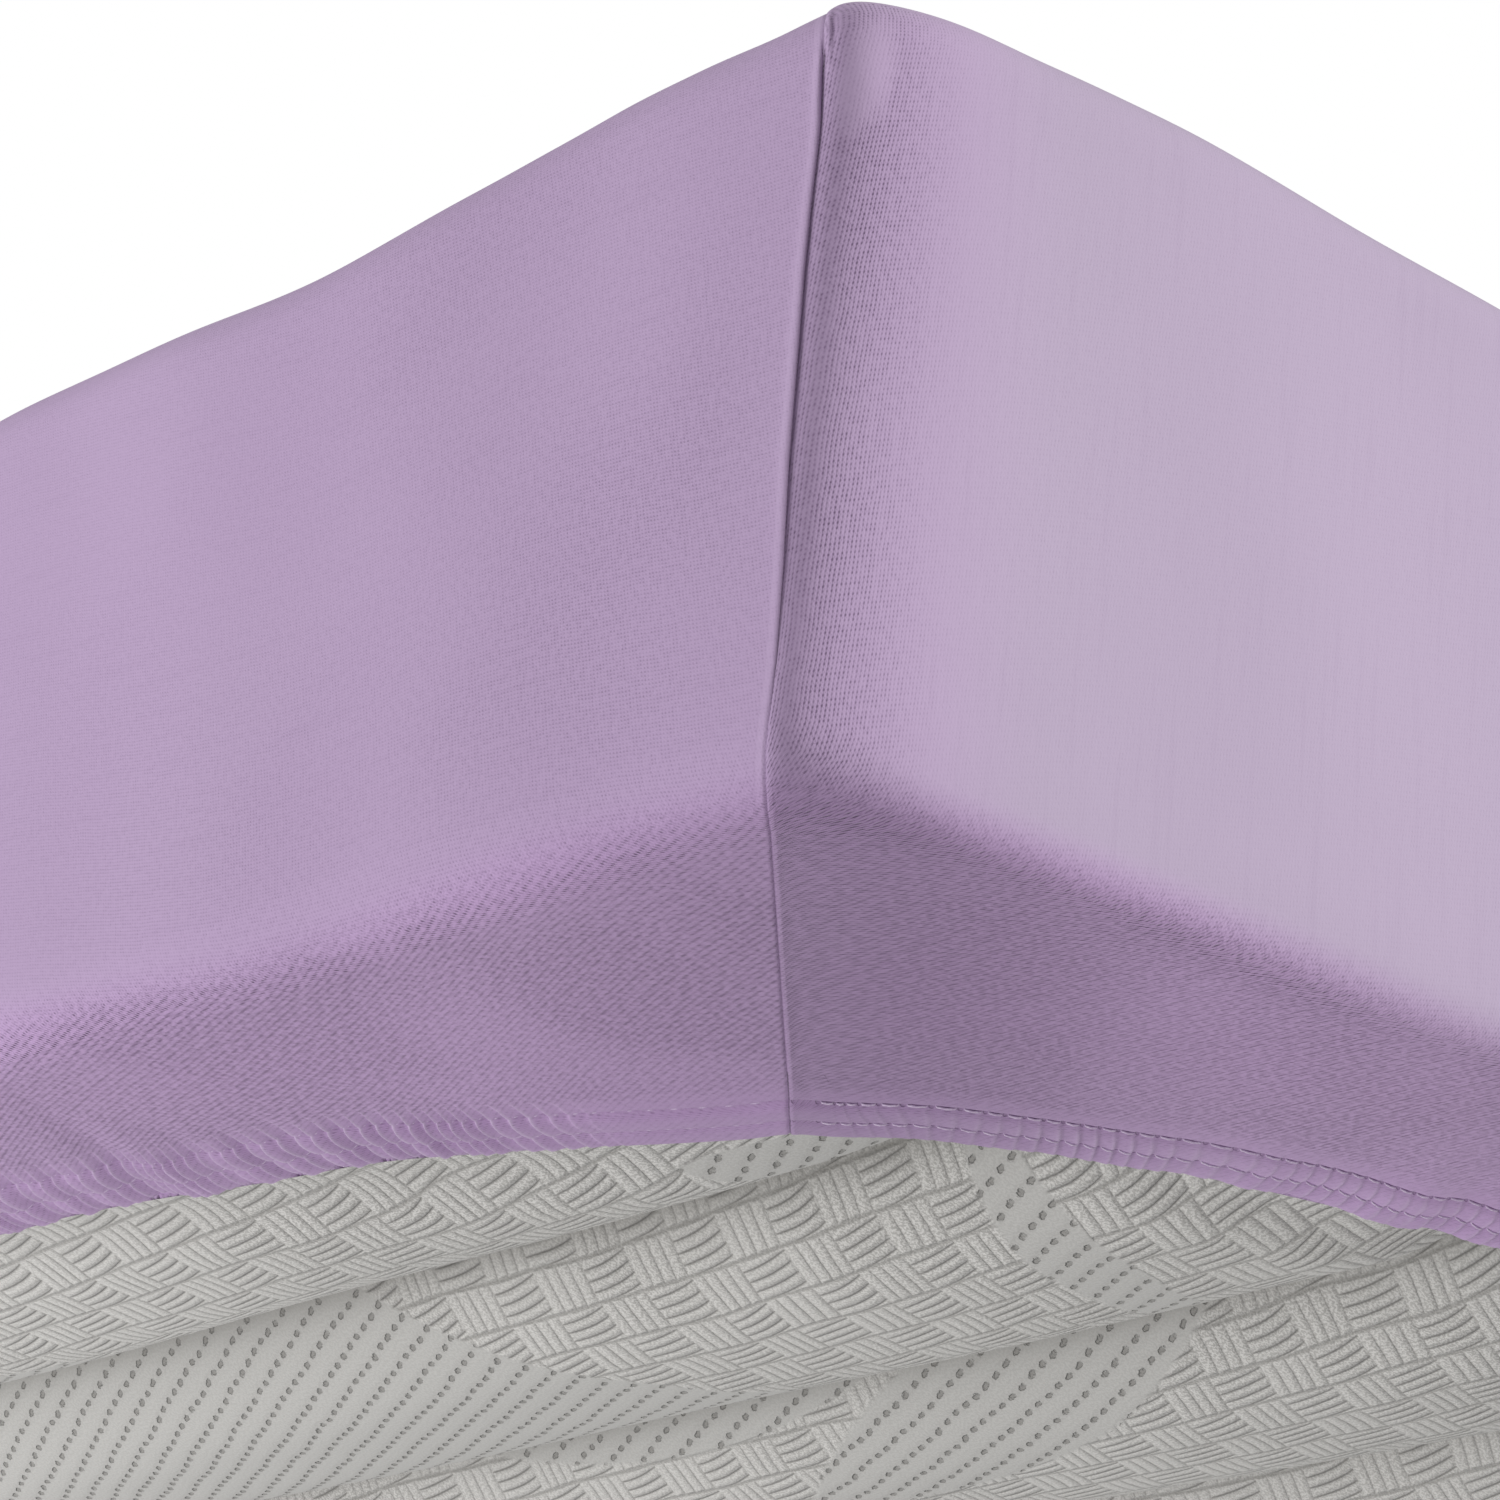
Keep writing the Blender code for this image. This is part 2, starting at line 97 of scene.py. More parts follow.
# The elastic hem, measured out from its edge.
CASING_WIDTH = 0.022
SECOND_SEAM = 0.0112  # the inner line of stitches; the outer one edges the casing
HEM_REACH = 0.040  # the hem's own piece reaches this far out,
HEM_OVERLAP = 0.002  # and the sheet runs on over it by this
HEM_WANDER = 0.0020  # the most that the hem's edge wanders
HEM_WANDER_START = (0.010, 0.030)  # from the seam: where that starts, and over how far
HEM_NOTCH = 0.0030  # how far the hem's edge is pulled out at the seam
NOTCH_WIDTH = 0.007
GATHER = 0.0041  # from one gather to the next, which is also a stitch's length
SIDE_GATHER_HEIGHT = 0.0013
END_GATHER_HEIGHT = 0.0007
GATHER_DROP = 0.22  # a gather drops steeply in this share of its width
GATHER_END = 0.42  # the gathers have calmed this far from the seam
# The casing's columns on a gather, as shares of it, and beside the seam, from its line.
GATHER_SHARES = (0.0, 0.06, 0.13, 0.22, 0.38, 0.56, 0.72, 0.85, 0.94)
SEAM_COLUMNS = (0.0004, 0.0009, 0.0015, 0.0022, 0.0032)
SEAM_COLUMN_GAP = 0.0006
PLAIN_STEP = 0.0018  # between columns past the gathers
STITCH_GAP = 0.0007
THREAD_RADIUS = 0.00023

# The corner seam: its ridge stands on the side's cloth on the wall, and changes to the
# end's cloth on the underside.
SEAM_RIDGE = 0.00035
SEAM_RIDGE_WIDTH = 0.0014
SEAM_GROOVE = 0.00035
SEAM_GROOVE_WIDTH = 0.0003

# How far the seam wanders along the side, at some heights, as (height, shift).
SEAM_SWAY = (
    (0.010, 0.0000),
    (0.034, -0.0012),
    (0.050, 0.0008),
    (0.075, 0.0012),
    (0.105, 0.0018),
    (0.125, 0.0010),
    (0.150, 0.0030),
)
SWAY_WIDTH = 0.030

# The mattress.
GROOVES = 5
ROLL_PITCH = 0.123
ROLL_DEPTH = 0.024
ROLL_REACH = 0.052
ROLL_RADIUS = (ROLL_REACH**2 + ROLL_DEPTH**2) / (2 * ROLL_DEPTH)
ROLL_SKEW = 0.034  # how far the grooves have drifted towards -Y at both ends
ROLL_SWAY = (0.0008, 0.23)  # how far a groove sways, and the length of that wave
LIFT = 0.0050  # the sheet holds the mattress this much higher than the rolls' plane
HEM_MARGIN = 0.010  # and lets go this far inside the hem,
CREST_RAMP = 0.028  # over this distance
MATTRESS_IN = 0.0036  # mattress to the sheet's outline
MATTRESS_TOP = 0.1484
MATTRESS_CROWN = 0.0110
MATTRESS_CROWN_REACH = 0.130
MATTRESS_ROUND = 0.013  # its long edges
MATTRESS_CORNER = 0.030  # its upright corners

# Slow waves along an edge: height, length and shift.
Wave = namedtuple("Wave", "height length shift")
SIDE_EDGE_WAVES = (Wave(0.0032, 0.238, 0.190), Wave(0.0012, 0.410, 0.120))
END_EDGE_WAVES = (Wave(0.0006, 0.310, 0.050),)
PANEL_WAVES = (Wave(0.5, 0.330, 0.0), Wave(0.5, 0.190, 0.07))
HEM_WAVES = (Wave(0.6, 0.270, 0.03), Wave(0.4, 0.115, 0.0))
# Opposite edges start at other places on these waves.
SIDE_SHIFT = 0.37
END_SHIFT = 0.61

# The main folds over the hem, one row each: distance from the seam along the hem's edge,
# half its width, how far it stands out (or in, less than 0) and its length from the edge.
Fold = namedtuple("Fold", "place width height length")
SIDE_FOLDS = (
    Fold(0.062, 0.0034, -0.0007, 0.036),
    Fold(0.077, 0.0034, -0.0010, 0.040),
    Fold(0.088, 0.0034, -0.0012, 0.050),
    Fold(0.098, 0.0034, -0.0011, 0.044),
    Fold(0.111, 0.0036, -0.0014, 0.056),
    Fold(0.124, 0.0038, -0.0014, 0.054),
    Fold(0.139, 0.0042, -0.0014, 0.058),
    Fold(0.153, 0.0050, 0.0010, 0.080),
    Fold(0.166, 0.0055, -0.0018, 0.092),
    Fold(0.186, 0.0042, -0.0013, 0.056),
    Fold(0.200, 0.0050, -0.0016, 0.060),
    Fold(0.216, 0.0044, -0.0014, 0.054),
    Fold(0.236, 0.0052, -0.0016, 0.062),
)
END_FOLDS = (
    Fold(0.052, 0.0060, -0.0003, 0.030),
    Fold(0.083, 0.0070, -0.0004, 0.036),
    Fold(0.110, 0.0060, -0.0005, 0.040),
    Fold(0.131, 0.0050, 0.0006, 0.066),
    Fold(0.141, 0.0050, -0.0008, 0.062),
    Fold(0.163, 0.0060, -0.0007, 0.048),
    Fold(0.190, 0.0070, -0.0006, 0.044),
)

# How far a gather moves towards the seam for each metre out from the hem's edge, close
# to the edge and further out, at a distance from the seam.
Slant = namedtuple("Slant", "from_seam low high")
SIDE_SLANTS = (
    Slant(0.000, 0.00, 0.00),
    Slant(0.050, 0.05, 0.24),
    Slant(0.100, 0.15, 0.38),
    Slant(0.150, 0.24, 0.48),
    Slant(0.200, 0.31, 0.58),
    Slant(0.300, 0.38, 0.65),
    Slant(0.400, 0.25, 0.40),
    Slant(0.600, 0.00, 0.00),
)
END_SLANTS = (
    Slant(0.000, 0.00, 0.00),
    Slant(0.040, 0.05, 0.20),
    Slant(0.080, 0.15, 0.40),
    Slant(0.150, 0.25, 0.50),
    Slant(0.280, 0.15, 0.25),
    Slant(0.330, 0.00, 0.00),
)
SLANT_BEND = 0.018  # the gathers bend over about this distance from the hem's edge
SLANT_TURN = 0.004  # and turn this sharply there

# Broad soft folds over the whole hem, made by an uneven line: their height, how far they
# reach from the hem's edge, the line's spacing and its seed.
SoftFolds = namedtuple("SoftFolds", "height reach spacing seed")
SOFT_FOLDS = (
    SoftFolds(0.0005, 0.034, 0.0050, 11),
    SoftFolds(0.0006, 0.052, 0.0095, 12),
    SoftFolds(0.0006, 0.085, 0.0230, 13),
)
SOFT_FOLD_START = (0.045, 0.050)  # from the seam: where they start, and over how far
END_SOFTNESS = 0.55  # their share of that height along an end
MAIN_SOFTNESS = 0.5  # and under the main folds of the first corner's side
MAIN_FOLD_SHIFT = 0.004  # the most that the main folds move at the next corner

KNOTS = 512  # values in an uneven line before it repeats


# --- Small measures ------------------------------------------------------------------


def smooth(share):
    """A soft step from 0 to 1 as the share goes from 0 to 1."""
    share = np.clip(share, 0.0, 1.0)
    return share * share * (3 - 2 * share)


def hump(place, middle, width):
    """A soft bump, 1 at its middle."""
    return np.exp(-(((place - middle) / width) ** 2))


def bezier(start, pull, stop, t):
    """A curve's points for an array of shares t, as an array of pairs."""
    t = np.asarray(t, float)[:, None]
    start, pull, stop = (np.array(p, float) for p in (start, pull, stop))
    return start * (1 - t) ** 2 + pull * 2 * t * (1 - t) + stop * t**2


def sum_of_waves(waves, place):
    return sum(w.height * np.sin(2 * math.pi * (place + w.shift) / w.length) for w in waves)


def uneven(place, spacing, seed):
    """A slow uneven line from -1 to 1 along a measure, the same each run."""
    knots = np.random.default_rng(seed).uniform(-1, 1, KNOTS)
    at = np.asarray(place) / spacing
    low = np.floor(at).astype(int)
    share = smooth(at - low)
    return knots[low % KNOTS] * (1 - share) + knots[(low + 1) % KNOTS] * share


def steps(start, stop, step):
    """Even places from start to before stop."""
    count = max(int(round(abs(stop - start) / step)), 1)
    return np.linspace(start, stop, count, endpoint=False)


def lengths_along(points):
    """Distance from the first point along a row of points."""
    gaps = np.linalg.norm(np.diff(points, axis=0), axis=1)
    return np.concatenate([[0.0], np.cumsum(gaps)])


# --- The outline ---------------------------------------------------------------------

# Arrays with an entry for each place: its edge, the way in and the hem's edge in plan,
# the distance along the hem's edge from the seam, less than 0 on the long side, the
# distance along the outline from the upright corner, the measure that the slow waves
# follow, which corner it belongs to and which way that corner faces.
Outline = namedtuple("Outline", "edge lean hem from_seam across along corner face")


def corner_outline():
    """A quarter's places in corner distances, from mid side over the seam to mid end."""
    curve_start = HEM_SIDE_START[1]
    fine = SEAM_IN + SEAM_FINE
    down = np.concatenate(
        [
            steps(LENGTH / 2, curve_start, SIDE_STEP),
            steps(curve_start, fine, SIDE_STEP),
            steps(fine, SEAM_IN, SEAM_STEP),
        ]
    )
    share = np.clip((curve_start - down) / (curve_start - SEAM_IN), 0, 1)
    side_edge = np.stack([0 * down, down], axis=1)
    near = np.clip(1 - (down - SEAM_IN) / LEAN_FADE, 0, 1)
    side_lean = np.stack([np.full_like(down, SEAM_LEAN[0]), SEAM_LEAN[1] * near], axis=1)
    side_hem = bezier(HEM_SIDE_START, HEM_SIDE_PULL, HEM_APEX, share)
    straight = down > curve_start
    side_hem[straight, 1] = down[straight]

    turn = np.linspace(0, 1, TURN_PLACES) ** TURN_CROWDING
    turn_edge = bezier((0, SEAM_IN), (0, 0), (CORNER_REACH, 0), turn)
    turn_lean = bezier(SEAM_LEAN, CORNER_LEAN, END_LEAN, turn)
    turn_hem = bezier(HEM_APEX, HEM_END_PULL, HEM_END_STOP, CORNER_SHARE * turn)

    end_across = steps(CORNER_REACH, HEM_END_STOP[0], END_STEP)[1:]
    share = (end_across - CORNER_REACH) / (HEM_END_STOP[0] - CORNER_REACH)
    share = CORNER_SHARE + (1 - CORNER_SHARE) * share
    curved_hem = bezier(HEM_APEX, HEM_END_PULL, HEM_END_STOP, share)
    mid = np.append(steps(HEM_END_STOP[0], WIDTH / 2, END_STEP), WIDTH / 2)
    mid_hem = np.stack([mid, np.full_like(mid, HEM_END)], axis=1)
    end_across = np.concatenate([end_across, mid])
    end_edge = np.stack([end_across, 0 * end_across], axis=1)
    end_lean = np.tile(END_LEAN, (len(end_across), 1))

    edge = np.concatenate([side_edge, turn_edge, end_edge])
    lean = np.concatenate([side_lean, turn_lean, end_lean])
    hem = np.concatenate([side_hem, turn_hem, curved_hem, mid_hem])
    seam = len(down)
    measure = lengths_along(hem)
    reach = lengths_along(edge)
    across = CORNER_REACH + reach - reach[seam + len(turn) - 1]
    return edge, lean, hem, measure - measure[seam], across


CORNER_WAYS = ((1, -1), (1, 1), (-1, 1), (-1, -1))


def quarter_outline(number):
    """One corner's quarter of the outline, from mid side to mid end."""
    edge, lean, hem, from_seam, across = corner_outline()
    end, side = CORNER_WAYS[number]
    flip = np.array([end, side])
    half = np.array([LENGTH / 2, WIDTH / 2])
    place = (half - edge[:, ::-1]) * flip
    on_side = from_seam <= 0
    along = np.where(on_side, place[:, 0] + SIDE_SHIFT * side, place[:, 1] + END_SHIFT * end)
    return Outline(
        edge=place,
        lean=-lean[:, ::-1] * flip,
        hem=(half - hem[:, ::-1]) * flip,
        from_seam=from_seam,
        across=across,
        along=along,
        corner=np.full(len(edge), number),
        face=np.tile(flip, (len(edge), 1)),
    )


def whole_outline():
    """The outline, anticlockwise from the middle of the -Y side."""
    parts = []
    for number, (end, side) in enumerate(CORNER_WAYS):
        way = slice(0, -1) if end * side < 0 else slice(None, 0, -1)
        parts.append([column[way] for column in quarter_outline(number)])
    return Outline(*(np.concatenate(columns) for columns in zip(*parts)))


def at_places(quarter, from_seam):
    """A quarter's outline again, at other distances from the seam."""

    def between(column):
        return np.interp(from_seam, quarter.from_seam, column)

    def pairs(columns):
        return np.stack([between(columns[:, 0]), between(columns[:, 1])], axis=1)

    count = len(from_seam)
    side = quarter.from_seam <= 0
    along_side = np.interp(from_seam, quarter.from_seam[side], quarter.along[side])
    along_end = np.interp(from_seam, quarter.from_seam[~side], quarter.along[~side])
    return Outline(
        edge=pairs(quarter.edge),
        lean=pairs(quarter.lean),
        hem=pairs(quarter.hem),
        from_seam=from_seam,
        across=between(quarter.across),
        along=np.where(from_seam <= 0, along_side, along_end),
        corner=np.full(count, quarter.corner[0]),
        face=np.tile(quarter.face[0], (count, 1)),
    )


def in_from_edges(place):
    """Distances in from the long side and from the end."""
    return WIDTH / 2 - np.abs(place[:, 1]), LENGTH / 2 - np.abs(place[:, 0])


def edge_height(outline):
    """Height of the top edge: it waves along a side and bulges along an end."""
    from_side, from_end = in_from_edges(outline.edge)
    wave = SIDE_EDGE_RISE + sum_of_waves(SIDE_EDGE_WAVES, outline.along)
    on_side = smooth(from_end / EDGE_CALM) * wave
    on_end = smooth(from_side / EDGE_CALM) * sum_of_waves(END_EDGE_WAVES, outline.along)
    bulge = EDGE_BULGE * hump(from_side, BULGE_PLACE, BULGE_WIDTH)
    bulge -= CORNER_FALL * hump(from_side + from_end, 0, CORNER_FALL_REACH)
    return THICKNESS + bulge + np.where(outline.from_seam <= 0, on_side, on_end)


def bottom_radius(outline):
    """The bottom edge is softer along a side than along an end."""
    end_share = np.where(outline.from_seam <= 0, 0.0, smooth(outline.across / CORNER_REACH))
    return SIDE_BOTTOM_RADIUS + (END_BOTTOM_RADIUS - SIDE_BOTTOM_RADIUS) * end_share


def band_start(outline):
    """Where the bottom edge's round ends and the underside's band starts, in plan."""
    return outline.edge + bottom_radius(outline)[:, None] * outline.lean


def hem_line(outline):
    """The hem's edge in plan and the way to it, as unit vectors."""
    way = outline.hem - band_start(outline)
    way /= np.linalg.norm(way, axis=1)[:, None]
    far = np.abs(outline.from_seam)
    start, over = HEM_WANDER_START
    wander = smooth((far - start) / over) * HEM_WANDER * sum_of_waves(HEM_WAVES, outline.along)
    wander = wander - HEM_NOTCH * hump(far, 0, NOTCH_WIDTH)
    return outline.hem + wander[:, None] * way, way


# --- Rows of the cloth ---------------------------------------------------------------

# One row: the outline it follows, its points in plan, heights, outward directions, how
# far down the cloth it is from the top edge, the share of the way from the top's flat
# mapping to the panel's, the distance out from the hem's edge, and the gathers' measure
# along the hem.
Row = namedtuple("Row", "outline place height out drop panel from_hem gather")
TOP_SHIFT = TOP_RADIUS * (math.pi / 2 - 1)  # the rounded edge is this much longer

# Where the rows lie: shares of the way from the middle to the hem's line and from the
# top's edge to it, degrees round the two edges, shares down the panel and along the band.
TOP_SHARES = (0.0, 0.3, 0.6, 0.85)
TOP_EDGE_SHARES = (1.0, 0.55, 0.2)
TOP_TURNS = (0, 18, 36, 54, 72, 90)
WALL_SHARES = (0.03, 0.06, 0.095, 0.135, 0.18, 0.25, 0.35, 0.48, 0.63, 0.79, 0.92)
BOTTOM_TURNS = (0, 22.5, 45, 67.5, 90)
BAND_SHARES = (0.1, 0.22, 0.36, 0.52, 0.68, 0.84, 1.0)
# The band's last rows, over the hem's piece: how far past its start, and how much higher.
TUCKED_ROWS = ((0.0006, 0.00002), (HEM_OVERLAP, 0.0004))


def filled(value, count):
    """An array of a number, or of numbers, one for each place."""
    return np.broadcast_to(value, (count,)).astype(float)


def seam_sway(outline, height):
    """How far the seam and the cloth beside it wander along the side, by height."""
    heights, shifts = zip(*SEAM_SWAY)
    shift = np.interp(height, heights, shifts) * hump(outline.from_seam, 0, SWAY_WIDTH)
    run = np.gradient(outline.edge, axis=0) * np.sign(np.gradient(outline.from_seam))[:, None]
    run /= np.maximum(np.linalg.norm(run, axis=1), 1e-9)[:, None]
    return -shift[:, None] * run


def row_of(outline, depth, height, out_in, out_up, drop, panel):
    """A row a depth in from the outline, facing out by shares inwards and upwards."""
    place = outline.edge + np.asarray(depth)[..., None] * outline.lean
    place = place + seam_sway(outline, height)
    inward = outline.lean / np.linalg.norm(outline.lean, axis=1)[:, None]
    count = len(place)
    out = np.concatenate([inward * out_in, np.full((count, 1), out_up)], axis=1)
    return Row(
        outline, place, filled(height, count), out, filled(drop, count), panel, None, None
    )


def top_rows(outline):
    """The top, from the middle of its length out to the rounded edge."""
    edge = edge_height(outline)
    start = outline.edge + TOP_RADIUS * outline.lean
    reach = LENGTH / 2 - WIDTH / 2
    middle = np.stack([np.clip(outline.hem[:, 0], -reach, reach), 0 * edge], axis=1)
    up = np.tile((0.0, 0.0, 1.0), (len(edge), 1))
    rows = []
    for share in TOP_SHARES:
        place = middle + (outline.hem - middle) * share
        height = filled(THICKNESS + CROWN, len(edge))
        rows.append(Row(outline, place, height, up, None, 0.0, None, None))
    for share in TOP_EDGE_SHARES:
        place = start + (outline.hem - start) * share
        side, end = in_from_edges(place)
        rise = CROWN * np.minimum(side / HEM_SIDE, 1) * np.minimum(end / HEM_SIDE, 1)
        height = THICKNESS + (edge - THICKNESS) * (1 - share) + rise
        rows.append(Row(outline, place, height, up, None, 0.0, None, None))
    return rows


def wall_rows(outline):
    """From the top's rounded edge down the panel and round the bottom edge."""
    top = edge_height(outline)
    radius = bottom_radius(outline)
    draw = SIDE_DRAW * (0.5 + 0.5 * sum_of_waves(PANEL_WAVES, outline.along))
    rows = []
    for degrees in TOP_TURNS:
        turn = math.radians(degrees)
        depth = filled(TOP_RADIUS * (1 - math.sin(turn)), len(top))
        height = top - TOP_RADIUS * (1 - math.cos(turn))
        drop = TOP_RADIUS * (turn - 1)
        out_in, out_up = -math.sin(turn), math.cos(turn)
        rows.append(row_of(outline, depth, height, out_in, out_up, drop, degrees / 90))
    wall_top = top - TOP_RADIUS
    wall_foot = BAND_HEIGHT + radius
    for share in WALL_SHARES:
        height = wall_top + (wall_foot - wall_top) * share
        depth = draw * math.sin(math.pi * share) ** DRAW_BLUNTNESS
        drop = TOP_SHIFT + wall_top - height
        rows.append(row_of(outline, depth, height, -1.0, 0.0, drop, 1.0))
    for degrees in BOTTOM_TURNS:
        turn = math.radians(degrees)
        depth = radius * (1 - math.cos(turn))
        height = BAND_HEIGHT + radius * (1 - math.sin(turn))
        drop = TOP_SHIFT + wall_top - wall_foot + radius * turn
        rows.append(row_of(outline, depth, height, -math.cos(turn), -math.sin(turn), drop, 1.0))
    return rows


def band_row(outline, from_hem, height, out=(0.0, 0.0, -1.0), gather=None):
    """A row on the underside, a distance out from the hem's edge."""
    line, way = hem_line(outline)
    place = line - way * np.asarray(from_hem)[..., None]
    radius = bottom_radius(outline)
    fall = TOP_SHIFT + edge_height(outline) - TOP_RADIUS - BAND_HEIGHT - radius
    inside = place - band_start(outline)
    run = np.abs(np.where(outline.from_seam <= 0, inside[:, 1], inside[:, 0]))
    count = len(place)
    return Row(
        outline,
        place,
        filled(height, count),
        np.tile(out, (count, 1)).astype(float),
        fall + radius * math.pi / 2 + run,
        1.0,
        filled(from_hem, count),
        gather,
    )


def band_rows(outline):
    """The underside's band, from the bottom edge to where the hem piece takes over."""
    line, _ = hem_line(outline)
    reach = np.linalg.norm(line - band_start(outline), axis=1)
    rows = []
    for share in BAND_SHARES:
        rows.append(band_row(outline, reach + (HEM_REACH - reach) * share, BAND_HEIGHT))
    for tucked, rise in TUCKED_ROWS:
        under = filled(HEM_REACH - tucked, len(reach))
        rows.append(band_row(outline, under, BAND_HEIGHT + rise))
    return rows


# --- Folds, gathers and seams --------------------------------------------------------


def slant_shift(gather, from_hem):
    """How far towards the seam a gather has moved, at a distance from the hem's edge."""
    far = np.abs(gather)
    past = SLANT_TURN * np.log1p(np.exp((from_hem - SLANT_BEND) / SLANT_TURN))
    moved = []
    for slants in (SIDE_SLANTS, END_SLANTS):
        from_seam, low, high = zip(*slants)
        low = np.interp(far, from_seam, low)
        high = np.interp(far, from_seam, high)
        moved.append(low * from_hem + (high - low) * past)
    return np.where(gather <= 0, *moved)


def own_slant(gather):
    """How far towards the seam the way out from the hem's edge already leads."""
    far = np.abs(gather)
    found = np.where(gather <= 0, *(np.interp(far, *table) for table in OWN_SLANTS))
    return found * smooth(far / 0.03)


def own_slant_tables():
    """For a side and an end: distances from the seam, and the own slant there."""
    quarter = quarter_outline(0)
    line, way = hem_line(quarter)
    run = np.gradient(line, axis=0)
    run *= np.sign(-quarter.from_seam - 1e-9)[:, None] / np.linalg.norm(run, axis=1)[:, None]
    slant = -(way * run).sum(axis=1)
    side = quarter.from_seam <= 0
    tables = []
    for here in (side, ~side):
        order = np.abs(quarter.from_seam[here]).argsort()
        tables.append((np.abs(quarter.from_seam[here])[order], slant[here][order]))
    return tables


OWN_SLANTS = own_slant_tables()


def soft_folds(outline, from_hem):
    """How far the cloth over the hem stands out in broad folds."""
    side = outline.from_seam <= 0
    far = np.abs(outline.from_seam)
    moved = slant_shift(outline.from_seam, from_hem) - own_slant(outline.from_seam) * from_hem
    start = far + moved
    shift = outline.corner * 1.7 + np.where(side, 0.0, 0.9)
    calm_start, calm_over = SOFT_FOLD_START
    calm = smooth((start - calm_start) / calm_over)
    main = (outline.corner == 0) & side
    part = np.where(main, MAIN_SOFTNESS, 1.0) * np.where(side, 1.0, END_SOFTNESS)
    height = np.zeros_like(start)
    for soft in SOFT_FOLDS:
        lively = 1 + 0.4 * uneven(start + shift, 0.05, soft.seed + 9)
        fade = smooth(1 - from_hem / (soft.reach * lively))
        folded = uneven(start + shift, soft.spacing, soft.seed)
        height += soft.height * part * fade * calm * folded
    for folds, here in ((SIDE_FOLDS, side), (END_FOLDS, ~side)):
        for number, fold in enumerate(folds):
            moved = outline.corner * MAIN_FOLD_SHIFT * math.sin(3.1 * number)
            near = hump(start, fold.place + moved, fold.width)
            height += here * fold.height * near * smooth(1 - from_hem / fold.length)
    return height


# How high the gathers stand at distances from the hem's edge, as (distance, share).
SIDE_GATHER_REACH = (
    (0.000, 0.40),
    (0.002, 0.80),
    (0.010, 1.00),
    (0.022, 1.00),
    (0.026, 0.80),
    (0.030, 0.35),
    (0.035, 0.00),
)
END_GATHER_REACH = (
    (0.0000, 0.15),
    (0.0010, 0.30),
    (0.0030, 0.70),
    (0.0095, 1.00),
    (0.0112, 0.90),
    (0.0130, 0.90),
    (0.0200, 0.80),
    (0.0220, 0.40),
    (0.0260, 0.00),
)
SIDE_GENTLENESS = 0.95  # the power of a gather's long slope, along a side
END_GENTLENESS = 1.2  # and along an end


def gather_phase(gather, corner):
    """Counts the gathers along the hem from the seam; whole numbers are their crests."""
    far = np.abs(gather)
    shift = corner * 2.3 + np.where(gather <= 0, 0.0, 1.1)
    return far / GATHER + 0.55 * uneven(far + shift, 0.021, 21)


def gather_sink(gather, corner, from_hem):
    """How far the cloth sinks in between the crests of the elastic's fine gathers."""
    side = gather <= 0
    share = gather_phase(gather, corner) % 1.0
    steep = smooth(share / GATHER_DROP)
    power = np.where(side, SIDE_GENTLENESS, END_GENTLENESS)
    gentle = np.clip((1 - share) / (1 - GATHER_DROP), 0, 1) ** power
    valley = np.where(share < GATHER_DROP, steep, gentle)
    return gather_size(gather, corner, from_hem) * valley


def gather_size(gather, corner, from_hem):
    """The height of the gathers at a place of the hem."""
    side = gather <= 0
    far = np.abs(gather)
    shift = corner * 2.3 + np.where(side, 0.0, 1.1)
    side_reach = np.interp(from_hem, *zip(*SIDE_GATHER_REACH))
    end_reach = np.interp(from_hem, *zip(*END_GATHER_REACH))
    calm = np.where(
        side,
        smooth((far - 0.030) / 0.022),
        0.3 * smooth((far - 0.004) / 0.015) + 0.7 * smooth((far - 0.012) / 0.05),
    )
    calm = calm * (1 - 0.85 * smooth((far - 0.30) / (GATHER_END - 0.30)))
    size = np.where(side, SIDE_GATHER_HEIGHT, END_GATHER_HEIGHT)
    lively = 0.78 + 0.22 * uneven(far + shift, 0.017, 22)
    return size * calm * lively * np.where(side, side_reach, end_reach)


def beside_seam(row):
    """Distance from the corner's seam along a row, less than 0 on the long side."""
    measure = lengths_along(row.place)
    away = row.outline.from_seam
    distance = np.empty_like(measure)
    for number in np.unique(row.outline.corner):
        here = row.outline.corner == number
        nearest = np.abs(away[here]).argmin()
        distance[here] = np.abs(measure[here] - measure[here][nearest])
    return np.where(away <= 0, -distance, distance)


WALL_RIDGE_END = 0.125  # down the cloth from the top edge to where the wall's ridge stops
UNDER_RIDGE_START = 0.150  # and to where the underside's starts
SEAM_STEP_DEPTH = 0.25 * SEAM_RIDGE  # the end's cloth starts this much lower than the side's
SEAM_STEP_REACH = 0.010
TUCK_BULGE = 0.0007
TUCK_CREASE = 0.0008
TUCK_LIP = 0.0004
TUCK_PLACE = (0.0095, 0.016)  # the bulge's middle: from the seam, and down the cloth
TUCK_SIZE = (0.0050, 0.010)


def seam_relief(distance, drop):
    """The seam's ridge beside its line, and the line's own groove."""
    on_wall = smooth((WALL_RIDGE_END - drop) / 0.030) * smooth((drop - 0.002) / 0.02)
    under = smooth((drop - UNDER_RIDGE_START) / 0.020)
    wide = SEAM_RIDGE_WIDTH
    left = hump(distance, -1.1 * wide, wide) * on_wall
    right = 0.45 * hump(distance, 0.8 * wide, 0.6 * wide) * under
    step = SEAM_STEP_DEPTH * on_wall * smooth(1 - distance / SEAM_STEP_REACH) * (distance > 0)
    groove = hump(distance, 0, SEAM_GROOVE_WIDTH)
    return SEAM_RIDGE * (left + 0.9 * right) - step - SEAM_GROOVE * groove


